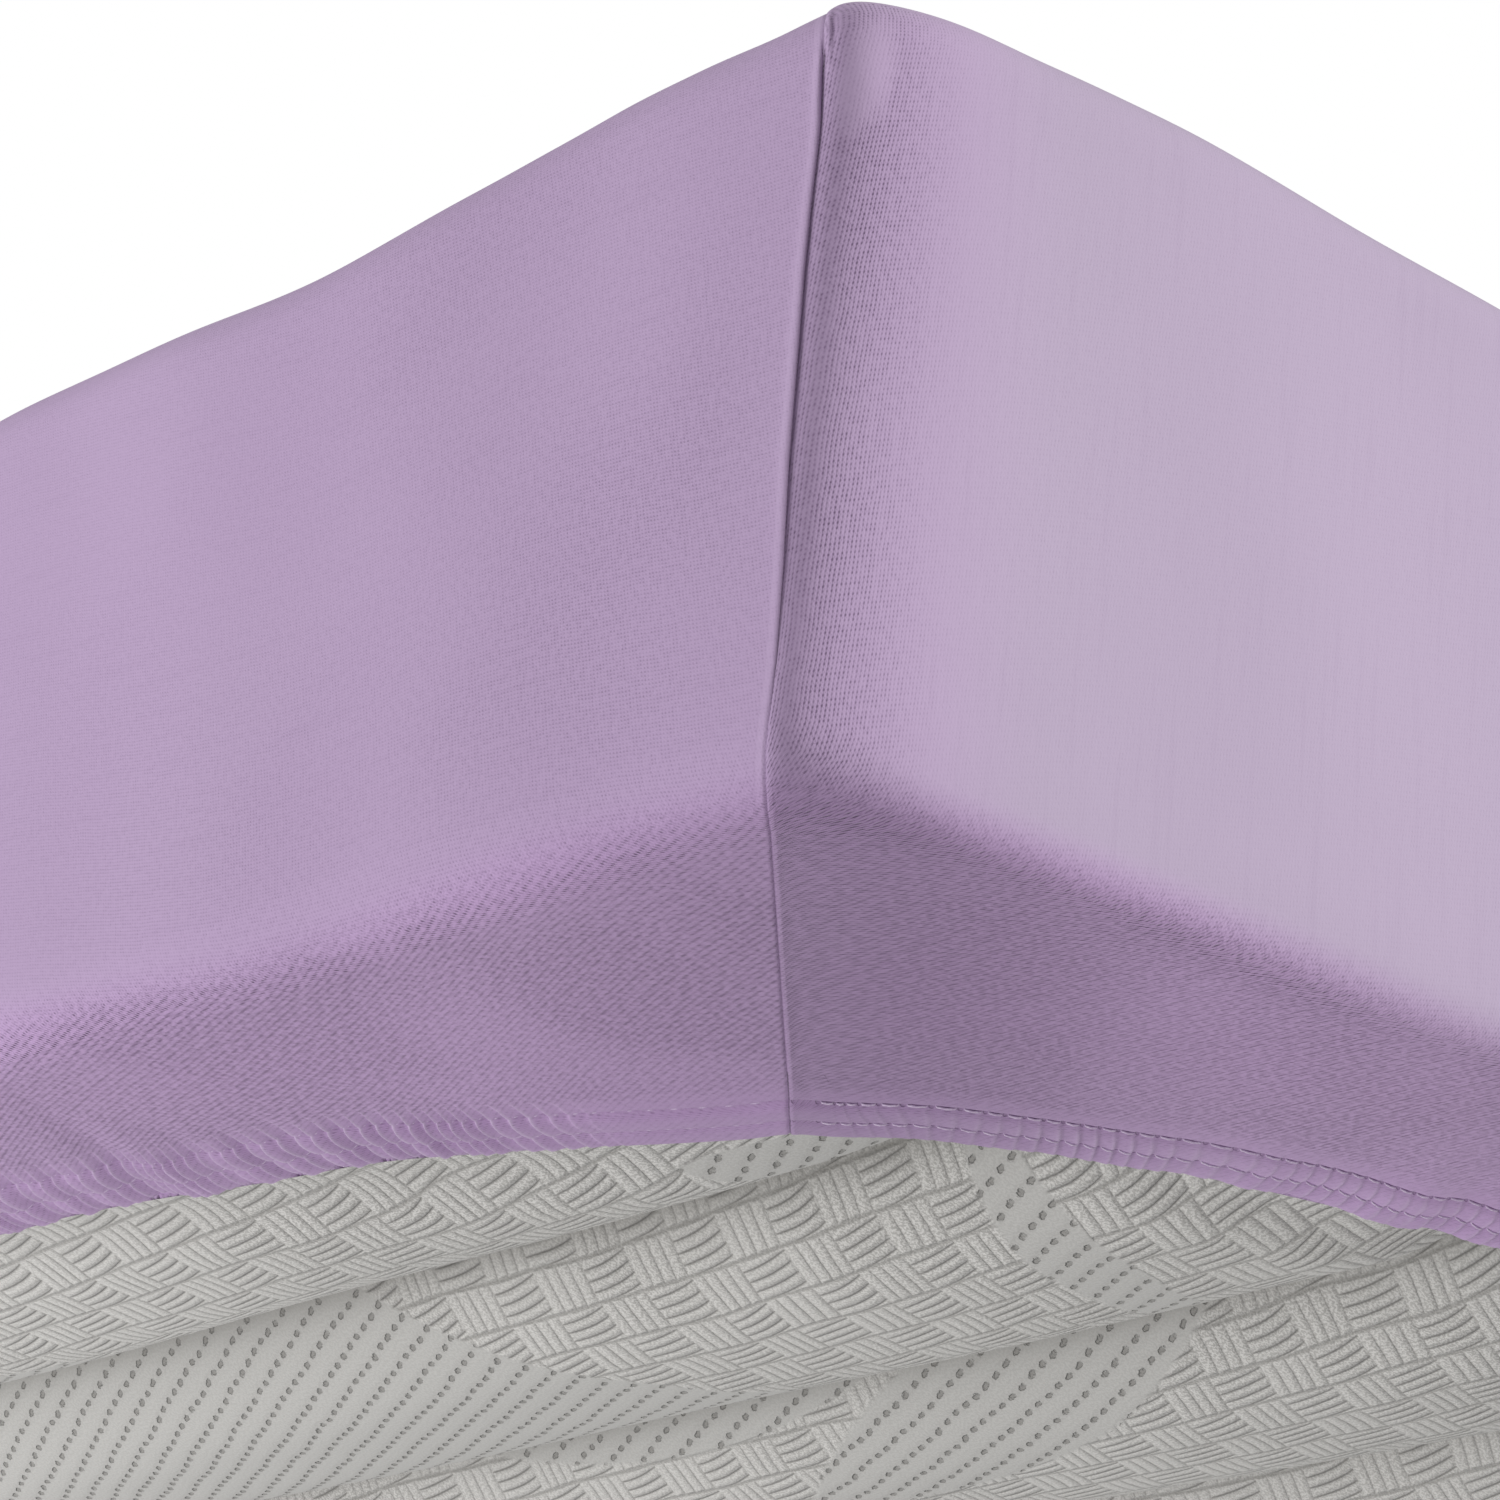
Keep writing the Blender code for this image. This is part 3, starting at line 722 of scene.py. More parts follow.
def corner_tuck(distance, drop):
    """The spare cloth at the top of the seam: a flat bulge, and a small hooked crease."""
    bulge = hump(distance, TUCK_PLACE[0], TUCK_SIZE[0]) * hump(drop, TUCK_PLACE[1], TUCK_SIZE[1])
    bend = 0.0006 + 0.0030 * smooth((0.012 - drop) / 0.007)
    crease = hump(distance, bend, 0.0007) * smooth((0.030 - drop) / 0.014)
    crease = crease * smooth((drop - 0.001) / 0.003)
    lip = hump(distance, bend - 0.0018, 0.0012) * smooth((0.026 - drop) / 0.014)
    lip = lip * smooth(drop / 0.004)
    return TUCK_BULGE * bulge - TUCK_CREASE * crease + TUCK_LIP * lip


# Slow waves over a panel: height, length along it, length down it and shift.
PanelWave = namedtuple("PanelWave", "height along down shift")
PANEL_RELIEF = (PanelWave(0.0004, 0.21, 0.19, 0.0), PanelWave(0.0003, 0.083, -0.27, 0.3))
DRAG_HEIGHT = 0.0001
DRAG_SPACING = 0.017
DRAG_SLOPE = 0.6


def panel_relief(outline, distance, drop):
    """Slow unevenness of the panels, and faint drag lines that run to the top corner."""
    far = np.abs(distance)
    slow = 0.0
    for wave in PANEL_RELIEF:
        turns = outline.along / wave.along + drop / wave.down + wave.shift
        slow = slow + wave.height * np.sin(2 * math.pi * turns)
    lines = np.sin(2 * math.pi * (far * DRAG_SLOPE - drop) / DRAG_SPACING)
    drag = DRAG_HEIGHT * np.exp(-far / 0.05) * lines
    high = smooth((0.080 - drop) / 0.05)
    return slow * smooth(far / 0.05) + drag * high * smooth(far / 0.012)


LOWEST = 0.0003  # nothing of the cloth or its stitches lies under this height


def settled(row):
    """A row's points with its folds, gathers and seam relief, never below the plane."""
    points = np.concatenate([row.place, row.height[:, None]], axis=1)
    if row.drop is None:
        return points
    distance = beside_seam(row)
    relief = seam_relief(distance, row.drop) + corner_tuck(distance, row.drop)
    if row.from_hem is not None:
        relief = relief + soft_folds(row.outline, row.from_hem)
    else:
        relief = relief + panel_relief(row.outline, distance, row.drop)
    if row.gather is not None:
        relief = relief - gather_sink(row.gather, row.outline.corner, row.from_hem)
    points = points + row.out * relief[:, None]
    points[:, 2] = np.maximum(points[:, 2], LOWEST)
    return points


def cloth_places(row, on_end):
    """Where a row lies on the flat cloth: along the length and across the width."""
    outline = row.outline
    flip = outline.face
    if row.drop is None:
        return row.place
    away = (row.place - outline.edge) * -flip
    if on_end:
        along = (LENGTH / 2 + row.drop) * flip[:, 0]
        across = (WIDTH / 2 - outline.across - away[:, 1]) * flip[:, 1]
        flat = np.stack([along, across], axis=1)
    else:
        across = (WIDTH / 2 + row.drop) * flip[:, 1]
        flat = np.stack([row.place[:, 0], across], axis=1)
    return row.place * (1 - row.panel) + flat * row.panel


# --- Meshes --------------------------------------------------------------------------


def join_rows(name, rows, closed):
    """A mesh of faces between rows, each going round the whole outline or a quarter."""
    count = len(rows[0].place)
    first = np.arange(count if closed else count - 1)
    nxt = (first + 1) % count
    seam_side = rows[0].outline.from_seam
    on_end = seam_side[first] + seam_side[nxt] > 0
    points = np.stack([settled(row) for row in rows])
    faces = []
    for number in range(len(rows) - 1):
        top = number * count
        low = top + count
        faces.append(np.stack([top + first, low + first, low + nxt, top + nxt], axis=1))
    faces = np.concatenate(faces)
    corners = faces.ravel()
    ends = np.repeat(np.tile(on_end, len(rows) - 1), 4)
    side_map = np.stack([cloth_places(row, False) for row in rows]).reshape(-1, 2)
    end_map = np.stack([cloth_places(row, True) for row in rows]).reshape(-1, 2)
    maps = {"cloth": np.where(ends[:, None], end_map[corners], side_map[corners])}
    for label, places in (("seam", seam_places), ("hem", hem_places), ("fold", fold_places)):
        whole = np.stack([places(row) for row in rows]).reshape(-1, 2)
        maps[label] = whole[corners]
    flip = rows[0].outline.face[0]
    if not closed and flip[0] * flip[1] > 0:
        faces = faces[:, ::-1]
        maps = {
            label: places.reshape(-1, 4, 2)[:, ::-1].reshape(-1, 2)
            for label, places in maps.items()
        }
    return mesh_object(name, points.reshape(-1, 3), faces, maps)


CREST_SHARE = 0.13  # of a gather's width, over which its crest's painted highlight fades
MILLIMETRES = 1000
FAR_FROM_SEAM = (1.0, -0.1)  # what the seam's map says on the top


def seam_places(row):
    """Distance beside the corner's seam, and down the cloth from the top edge."""
    if row.drop is None:
        return np.tile(FAR_FROM_SEAM, (len(row.place), 1))
    return np.stack([beside_seam(row), row.drop], axis=1)


def hem_places(row):
    """The gathers' count along the hem, in stitches, and the distance from its edge."""
    if row.gather is None:
        return np.full((len(row.place), 2), 1.0)
    phase = gather_phase(row.gather, row.outline.corner) - GATHER_DROP
    return np.stack([phase, row.from_hem], axis=1)


def fold_places(row):
    """How deep a place lies between the gathers, in mm, for painted shade, and how much it is a
    crest, for a painted highlight.
    """
    if row.gather is None:
        return np.zeros((len(row.place), 2))
    corner = row.outline.corner
    sink = gather_sink(row.gather, corner, row.from_hem)
    share = gather_phase(row.gather, corner) % 1.0
    near = np.minimum(share, 1 - share)
    crest = np.clip(1.4 - near / CREST_SHARE, 0, 1)
    reach = np.clip(gather_size(row.gather, corner, row.from_hem) / SIDE_GATHER_HEIGHT, 0, 1)
    return np.stack([sink * MILLIMETRES, crest * reach], axis=1)


def mesh_object(name, points, faces, maps):
    """A smooth mesh in the scene, with its maps' places given by face corner."""
    mesh = bpy.data.meshes.new(name)
    mesh.from_pydata(points.tolist(), [], faces.tolist())
    for label, places in maps.items():
        layer = mesh.uv_layers.new(name=label)
        layer.uv.foreach_set("vector", places.astype(np.float32).ravel())
    mesh.shade_smooth()
    thing = bpy.data.objects.new(name, mesh)
    bpy.context.scene.collection.objects.link(thing)
    return thing


def change_mesh(thing, change):
    """Lets a function change an object's mesh."""
    mesh = bmesh.new()
    mesh.from_mesh(thing.data)
    change(mesh)
    mesh.to_mesh(thing.data)
    mesh.free()


def weld_middle(mesh):
    """Joins the points that lie on each other along the middle of the top."""
    bmesh.ops.remove_doubles(mesh, verts=mesh.verts, dist=0.00001)
    flat = [face for face in mesh.faces if face.calc_area() < 1e-10]
    bmesh.ops.delete(mesh, geom=flat, context="FACES_ONLY")


def make_sheet():
    """The whole cloth but its casing: top, panels and the band turned under."""
    outline = whole_outline()
    rows = top_rows(outline) + wall_rows(outline) + band_rows(outline)
    thing = join_rows("fitted_sheet_cloth", rows, closed=True)
    change_mesh(thing, weld_middle)
    return thing


# The casing's cross-section over the crests of its gathers: distance out from the hem's
# edge and height. It goes round the edge and a little way up the inside.
CASING_UNDER = (
    (0.0400, 0.0020),
    (0.0370, 0.0020),
    (0.0340, 0.0020),
    (0.0312, 0.0020),
    (0.0287, 0.0020),
    (0.0265, 0.0019),
    (0.0247, 0.0018),
    (0.0232, 0.0018),
    (0.0222, 0.0021),
    (0.0212, 0.0013),
    (0.0195, 0.0008),
    (0.0175, 0.0006),
    (0.0155, 0.0006),
    (0.0135, 0.0007),
    (0.0120, 0.0009),
    (0.0112, 0.0012),
    (0.0104, 0.0009),
    (0.0088, 0.0006),
    (0.0070, 0.0005),
    (0.0052, 0.0005),
    (0.0036, 0.0006),
    (0.0022, 0.0008),
    (0.0011, 0.0012),
    (0.0004, 0.0017),
)
CASING_OVER = (
    (0.0000, 0.0023),
    (0.0003, 0.0031),
    (0.0016, 0.0036),
    (0.0045, 0.0039),
    (0.0100, 0.0040),
)


def hem_columns(quarter):
    """The measure of the hem's columns: a few set places on each gather."""
    start, stop = quarter.from_seam[0], quarter.from_seam[-1]
    plain = steps(start, -GATHER_END, PLAIN_STEP)
    seam = np.array(SEAM_COLUMNS)
    found = []
    for way, end in ((-1, GATHER_END), (1, stop)):
        far = np.linspace(0, end, 4000)
        phase = np.maximum.accumulate(gather_phase(way * far, quarter.corner[0]))
        turns = np.arange(math.floor(phase[0]), math.ceil(phase[-1]))
        wanted = (turns[:, None] + np.array(GATHER_SHARES)).ravel()
        wanted = wanted[(wanted > phase[0] + 0.05) & (wanted < phase[-1] - 0.05)]
        placed = np.interp(wanted, phase, far)
        placed = placed[placed > seam[-1] + SEAM_COLUMN_GAP]
        found.append(way * np.concatenate([seam, placed]))
    return np.concatenate([plain, [-GATHER_END], found[0][::-1], [0.0], found[1], [stop]])


def hem_row(quarter, gather, from_hem, height, out):
    """A row of the casing, whose columns run along the slanting gathers."""
    moved = slant_shift(gather, np.full_like(gather, from_hem))
    moved -= own_slant(gather) * from_hem
    place = np.where(gather <= 0, np.minimum(gather + moved, 0), np.maximum(gather - moved, 0))
    return band_row(at_places(quarter, place), from_hem, height, out, gather)


def make_hem(number):
    """A corner's length of the elastic hem, from mid side to mid end."""
    quarter = quarter_outline(number)
    gather = hem_columns(quarter)
    rows = [hem_row(quarter, gather, far, up, (0, 0, -1)) for far, up in CASING_UNDER]
    rows += [hem_row(quarter, gather, far, up, (0, 0, 0)) for far, up in CASING_OVER]
    return join_rows("elastic_hem_%d" % (number + 1), rows, closed=False)


# --- Stitches ------------------------------------------------------------------------

STITCH_RINGS = np.array([0.0, 0.12, 0.5, 0.88, 1.0])
STITCH_SINK = np.array([0.0007, 0.0001, -0.00005, 0.0001, 0.0007])
STITCH_THICKNESS = THREAD_RADIUS * np.array([0.7, 1.0, 1.1, 1.0, 0.7])
STITCH_SIDES = 5
SIDE_STITCH_SINK = 0.00025
END_STITCH_RISE = 0.00022


def stitch_line(number, from_hem, height):
    """Points of a corner's stitches along a line of the hem, by stitch and by ring."""
    quarter = quarter_outline(number)
    gather = hem_columns(quarter)
    points = settled(hem_row(quarter, gather, from_hem, height, (0, 0, -1)))
    found = []
    for side in (gather <= 0, gather >= 0):
        here = gather[side]
        order = np.abs(here).argsort()
        phase = gather_phase(here, number)[order] - GATHER_DROP
        phase = np.maximum.accumulate(phase)
        spots = points[side][order]
        spots[:, 2] += np.where(here[order] < 0, SIDE_STITCH_SINK, -END_STITCH_RISE)
        gap = STITCH_GAP / GATHER / 2
        starts = np.arange(math.ceil(phase[0]), math.floor(phase[-1]))
        at = starts[:, None] + gap + STITCH_RINGS[None] * (1 - 2 * gap)
        found.append(
            np.stack([np.interp(at, phase, spots[:, axis]) for axis in range(3)], axis=-1)
        )
    return np.concatenate(found)


def make_stitches(name, from_hem, height):
    """A line of separate stitches round the hem, each a short thread with sunk ends."""
    line = np.concatenate([stitch_line(number, from_hem, height) for number in range(4)])
    line[..., 2] = np.maximum(line[..., 2] + STITCH_SINK - 0.6 * THREAD_RADIUS, LOWEST)
    run = line[:, -1] - line[:, 0]
    run[:, 2] = 0
    run /= np.linalg.norm(run, axis=1)[:, None]
    aside = np.stack([-run[:, 1], run[:, 0], 0 * run[:, 0]], axis=1)
    turns = 2 * math.pi * np.arange(STITCH_SIDES) / STITCH_SIDES
    ring = np.cos(turns)[:, None] * aside[:, None, None, :]
    ring = ring + np.sin(turns)[:, None] * np.array([0, 0, 1.0])
    verts = line[:, :, None, :] + STITCH_THICKNESS[None, :, None, None] * ring
    rings = len(STITCH_RINGS)
    base = np.arange(len(line))[:, None, None] * rings * STITCH_SIDES
    step = base + np.arange(rings - 1)[None, :, None] * STITCH_SIDES
    spin = np.arange(STITCH_SIDES)[None, None, :]
    turn = (spin + 1) % STITCH_SIDES
    corners = [step + spin, step + turn, step + STITCH_SIDES + turn, step + STITCH_SIDES + spin]
    faces = np.stack(corners, axis=-1).reshape(-1, 4)
    return mesh_object(name, verts.reshape(-1, 3), faces, {})


# --- The mattress --------------------------------------------------------------------


def fallen(distance, radius):
    """How far a rounded edge has fallen back, a distance in from the flat end."""
    short = np.maximum(radius - distance, 0.0)
    return radius - np.sqrt(radius**2 - short**2)


def groove_places(x):
    """Where the grooves lie across the underside, at a place along it."""
    drift = ROLL_SKEW * (1 - math.cos(math.pi * x / LENGTH))
    reach, length = ROLL_SWAY
    sway = reach * math.sin(2 * math.pi * x / length)
    return np.array([(n - (GROOVES - 1) / 2) * ROLL_PITCH - drift + sway for n in range(GROOVES)])


def roll_height(from_groove):
    """Height of a roll's face above its crest's plane, at a distance from its groove."""
    run = np.maximum(ROLL_REACH - from_groove, 0.0)
    return ROLL_RADIUS - np.sqrt(ROLL_RADIUS**2 - run**2)


def hem_opening():
    """A quarter's hem edge in corner distances, with its inward directions."""
    line = corner_outline()[2][::4]
    run = np.gradient(line, axis=0)
    run /= np.linalg.norm(run, axis=1)[:, None]
    return line, np.stack([-run[:, 1], run[:, 0]], axis=1)


def inside_hem(place, opening):
    """How far places are inside the hem's opening; less than 0 over the cloth."""
    line, inward = opening
    spots = np.stack(in_from_edges(place), axis=1)
    nearest = ((spots[:, None, :] - line[None]) ** 2).sum(axis=2).argmin(axis=1)
    return ((spots - line[nearest]) * inward[nearest]).sum(axis=1)


def section_across(x, rim):
    """Places across a section: close together at the grooves, from -Y to +Y."""
    share = np.linspace(0, 1, 13)[1:]
    from_groove = ROLL_PITCH / 2 * (1 - np.cos(share * math.pi / 2)) ** 0.75
    inner = []
    for groove in groove_places(x):
        inner += [*(groove - from_groove[:-1][::-1]), groove, *(groove + from_groove)]
    left = np.linspace(-rim, inner[0], 24, endpoint=False)
    right = np.linspace(rim, inner[-1], 24, endpoint=False)[::-1]
    return np.concatenate([left, inner, right])


def mattress_ring(x, opening):
    """One cross-section of the mattress, as a closed row of (across, height)."""
    from_end = LENGTH / 2 - MATTRESS_IN - abs(x)
    half = WIDTH / 2 - MATTRESS_IN - fallen(from_end, MATTRESS_CORNER)
    fall = fallen(from_end, MATTRESS_ROUND)
    rim = half - MATTRESS_ROUND
    across = section_across(x, rim)
    place = np.stack([np.full(len(across), x), across], axis=1)
    from_groove = np.abs(across[:, None] - groove_places(x)[None]).min(axis=1)
    held = 1 - smooth((inside_hem(place, opening) - HEM_MARGIN) / CREST_RAMP)
    soft = 1 + 0.05 * np.sin(x / 0.11 + across * 9)
    under = np.stack([across, roll_height(from_groove) * soft + LIFT * held + fall], axis=1)
    turns = np.radians((22.5, 45, 67.5, 90))
    foot_out = rim + MATTRESS_ROUND * np.sin(turns)
    foot_up = LIFT + fall + MATTRESS_ROUND * (1 - np.cos(turns))
    foot = np.stack([foot_out, foot_up], axis=1)
    head_up = MATTRESS_TOP - fall - MATTRESS_ROUND * (1 - np.sin(turns))
    head = np.stack([rim + MATTRESS_ROUND * np.cos(turns), head_up], axis=1)
    inner = WIDTH / 2 - MATTRESS_CROWN_REACH
    rise = MATTRESS_CROWN * min(from_end / MATTRESS_CROWN_REACH, 1.0)
    crest = MATTRESS_TOP - fall + rise
    over = np.array([(inner, crest), (0.0, crest), (-inner, crest)])
    back = (-1, 1)
    return np.concatenate([foot[::-1] * back, under, foot, head, over, head[::-1] * back])


def make_mattress():
    """The mattress in its ticking, as rings from end to end."""
    opening = hem_opening()
    end = LENGTH / 2 - MATTRESS_IN
    turns = np.radians(np.linspace(0, 90, 6))
    near = MATTRESS_ROUND * (1 - np.cos(turns))
    near = np.concatenate([near, (0.0165, 0.021, 0.0255)])
    distances = np.concatenate([near, steps(0.030, end, 0.0062)])
    cuts = np.concatenate([distances - end, [0.0], end - distances[::-1]])
    rings = []
    maps = []
    rolls = []
    for x in cuts:
        ring = mattress_ring(x, opening)
        along = np.full((len(ring), 1), x)
        rings.append(np.concatenate([along, ring], axis=1))
        measure = lengths_along(ring)
        measure -= np.interp(0, ring[: len(ring) // 2, 0], measure[: len(ring) // 2])
        maps.append(np.concatenate([along, measure[:, None]], axis=1))
        # The roll map: distance from the nearest groove, for the painted shade there.
        from_groove = np.abs(ring[:, :1] - groove_places(x)[None]).min(axis=1)
        on_face = ring[:, 1] < MATTRESS_TOP / 2
        rolls.append(np.stack([np.where(on_face, from_groove, 1.0), ring[:, 1]], axis=1))
    count = len(rings[0])
    first = np.arange(count)
    nxt = (first + 1) % count
    faces = []
    for number in range(len(rings) - 1):
        a = number * count
        faces.append(np.stack([a + first, a + count + first, a + count + nxt, a + nxt], axis=1))
    faces = np.concatenate(faces)
    corners = faces.ravel()
    places = {"cloth": np.concatenate(maps)[corners], "roll": np.concatenate(rolls)[corners]}
    thing = mesh_object("mattress_cover", np.concatenate(rings), faces, places)
    change_mesh(thing, close_ends)
    return thing


def close_ends(mesh):
    """Fills the flat ends and turns the faces outwards."""
    bmesh.ops.holes_fill(mesh, edges=[edge for edge in mesh.edges if edge.is_boundary])
    bmesh.ops.recalc_face_normals(mesh, faces=mesh.faces)


# --- Materials -----------------------------------------------------------------------


class Wiring:
    """Adds nodes to one tree and joins them."""

    def __init__(self, tree):
        self.tree = tree

    def feed(self, socket, value):
        """Links a socket to another one, or sets its number or colour."""
        if isinstance(value, bpy.types.NodeSocket):
            self.tree.links.new(value, socket)
        else:
            socket.default_value = value

    def put(self, kind, settings=None, **inputs):
        """A new node; an underscore in an input's name stands for a space."""
        node = self.tree.nodes.new(kind)
        for key, value in (settings or {}).items():
            setattr(node, key, value)
        for name, value in inputs.items():
            self.feed(node.inputs[name.replace("_", " ")], value)
        return node

    def calc(self, operation, *values):
        node = self.tree.nodes.new("ShaderNodeMath")
        node.operation = operation
        for socket, value in zip(node.inputs, values):
            self.feed(socket, value)
        return node.outputs[0]

    def vector(self, operation, *values):
        node = self.tree.nodes.new("ShaderNodeVectorMath")
        node.operation = operation
        for socket, value in zip(node.inputs, values):
            self.feed(socket, value)
        return node.outputs["Value" if operation == "DOT_PRODUCT" else "Vector"]

    def ramp(self, value, low, high, out_low=0.0, out_high=1.0):
        """A soft step of a value, from out_low below low to out_high above high."""
        node = self.put(
            "ShaderNodeMapRange", {"interpolation_type": "SMOOTHSTEP"}, Value=value
        )
        limits = {"From Min": low, "From Max": high, "To Min": out_low, "To Max": out_high}
        for name, amount in limits.items():
            self.feed(node.inputs[name], amount)
        return node.outputs["Result"]

    def noise(self, place, scale, detail=2.0, roughness=0.5):
        node = self.put(
            "ShaderNodeTexNoise", Vector=place, Scale=scale, Detail=detail, Roughness=roughness
        )
        return node.outputs["Fac"]

    def blend(self, share, first, second):
        """Between two values, by a share."""
        node = self.put("ShaderNodeMix", {"data_type": "FLOAT"})
        for number, value in ((0, share), (2, first), (3, second)):
            self.feed(node.inputs[number], value)
        return node.outputs[0]

    def mix(self, share, first, second):
        """Between two colours, by a share."""
        node = self.tree.nodes.new("ShaderNodeMix")
        node.data_type = "RGBA"
        self.feed(node.inputs[0], share)
        self.feed(node.inputs[6], first)
        self.feed(node.inputs[7], second)
        return node.outputs[2]


def new_group(name, inputs, outputs):
    """A shader node group with its own named sockets."""
    tree = bpy.data.node_groups.new(name, "ShaderNodeTree")
    for label, kind, value in inputs:
        socket = tree.interface.new_socket(name=label, in_out="INPUT", socket_type=kind)
        if value is not None:
            socket.default_value = value
    for label, kind in outputs:
        tree.interface.new_socket(name=label, in_out="OUTPUT", socket_type=kind)
    start = tree.nodes.new("NodeGroupInput")
    finish = tree.nodes.new("NodeGroupOutput")
    return tree, Wiring(tree), start.outputs, finish.inputs


def fibre_group():
    """Uneven yarn tone: slow clouds, streaks along the yarn and fine flecks."""
    tree, w, given, made = new_group(
        "uneven_yarn",
        [
            ("Place", "NodeSocketVector", None),
            ("Cloud Scale", "NodeSocketFloat", 9.0),
            ("Streak Scale", "NodeSocketFloat", 420.0),
            ("Fleck Scale", "NodeSocketFloat", 1500.0),
        ],
        [
            ("Cloud", "NodeSocketFloat"),
            ("Streak", "NodeSocketFloat"),
            ("Fleck", "NodeSocketFloat"),
        ],
    )
    cloud = w.noise(given["Place"], given["Cloud Scale"], 3.0)
    stretched = w.vector("MULTIPLY", given["Place"], (0.06, 1.0, 1.0))
    streak = w.noise(stretched, given["Streak Scale"], 2.0)
    fleck = w.noise(given["Place"], given["Fleck Scale"], 1.0, 0.7)
    w.feed(made["Cloud"], cloud)
    w.feed(made["Streak"], streak)
    w.feed(made["Fleck"], fleck)
    return tree


# How dark the knit is where columns and courses cross, between columns, and between courses.
KNIT_HOLES = (0.38, 0.50, 0.24)


def knit_group():
    """Plain knit: columns of loops and courses across them, dark between."""
    tree, w, given, made = new_group(
        "plain_knit",
        [
            ("Place", "NodeSocketVector", None),
            ("Columns", "NodeSocketVector", None),
            ("Courses", "NodeSocketVector", None),
        ],
        [("Height", "NodeSocketFloat"), ("Hole", "NodeSocketFloat")],
    )
    slow = w.calc("SUBTRACT", w.noise(given["Place"], 7.0, 1.0), 0.5)
    quick = w.calc("SUBTRACT", w.noise(given["Place"], 90.0, 1.0), 0.5)
    sway = w.calc("ADD", w.calc("MULTIPLY", slow, 6.0), w.calc("MULTIPLY", quick, 0.9))
    column = w.calc("ADD", w.vector("DOT_PRODUCT", given["Place"], given["Columns"]), sway)
    course = w.vector("DOT_PRODUCT", given["Place"], given["Courses"])
    course = w.calc("ADD", course, w.calc("MULTIPLY", slow, 5.0))
    across = w.calc("COSINE", w.calc("MULTIPLY", column, 2 * math.pi))
    along = w.calc("COSINE", w.calc("MULTIPLY", course, 2 * math.pi))
    hole = 0.0
    lattice = w.calc("MULTIPLY", across, along)
    for wave, size in zip((lattice, across, along), KNIT_HOLES):
        share = w.calc("POWER", w.calc("MULTIPLY_ADD", wave, 0.5, 0.5), 1.6)
        hole = w.calc("MULTIPLY_ADD", share, size, hole)
    worn = w.ramp(w.noise(given["Place"], 620.0, 2.0), 0.34, 0.66, 0.62, 1.22)
    hole = w.calc("MULTIPLY", hole, worn)
    w.feed(made["Height"], w.calc("SUBTRACT", 1.0, hole))
    w.feed(made["Hole"], hole)
    return tree


# The knit's columns and courses, in cycles a metre along the cloth and across it.
WALL_COLUMNS = (120.0, 1340.0, 0.0)
WALL_COURSES = (1060.0, 300.0, 0.0)
SIDE_UNDER_COLUMNS = (780.0, 1170.0, 0.0)
SIDE_UNDER_COURSES = (-230.0, 640.0, 0.0)
END_UNDER_COLUMNS = (820.0, 1150.0, 0.0)
END_UNDER_COURSES = (880.0, 420.0, 0.0)

# The ticking's basket of ribs.
BASKET_UP = (0.08, 1.0, 0.0)  # across the rows of blocks
BASKET_ALONG = (1.0, 0.33, 0.0)  # along the rows of blocks
RIBS = 4.0  # ribs in a block
RIB_CURVE = 0.17


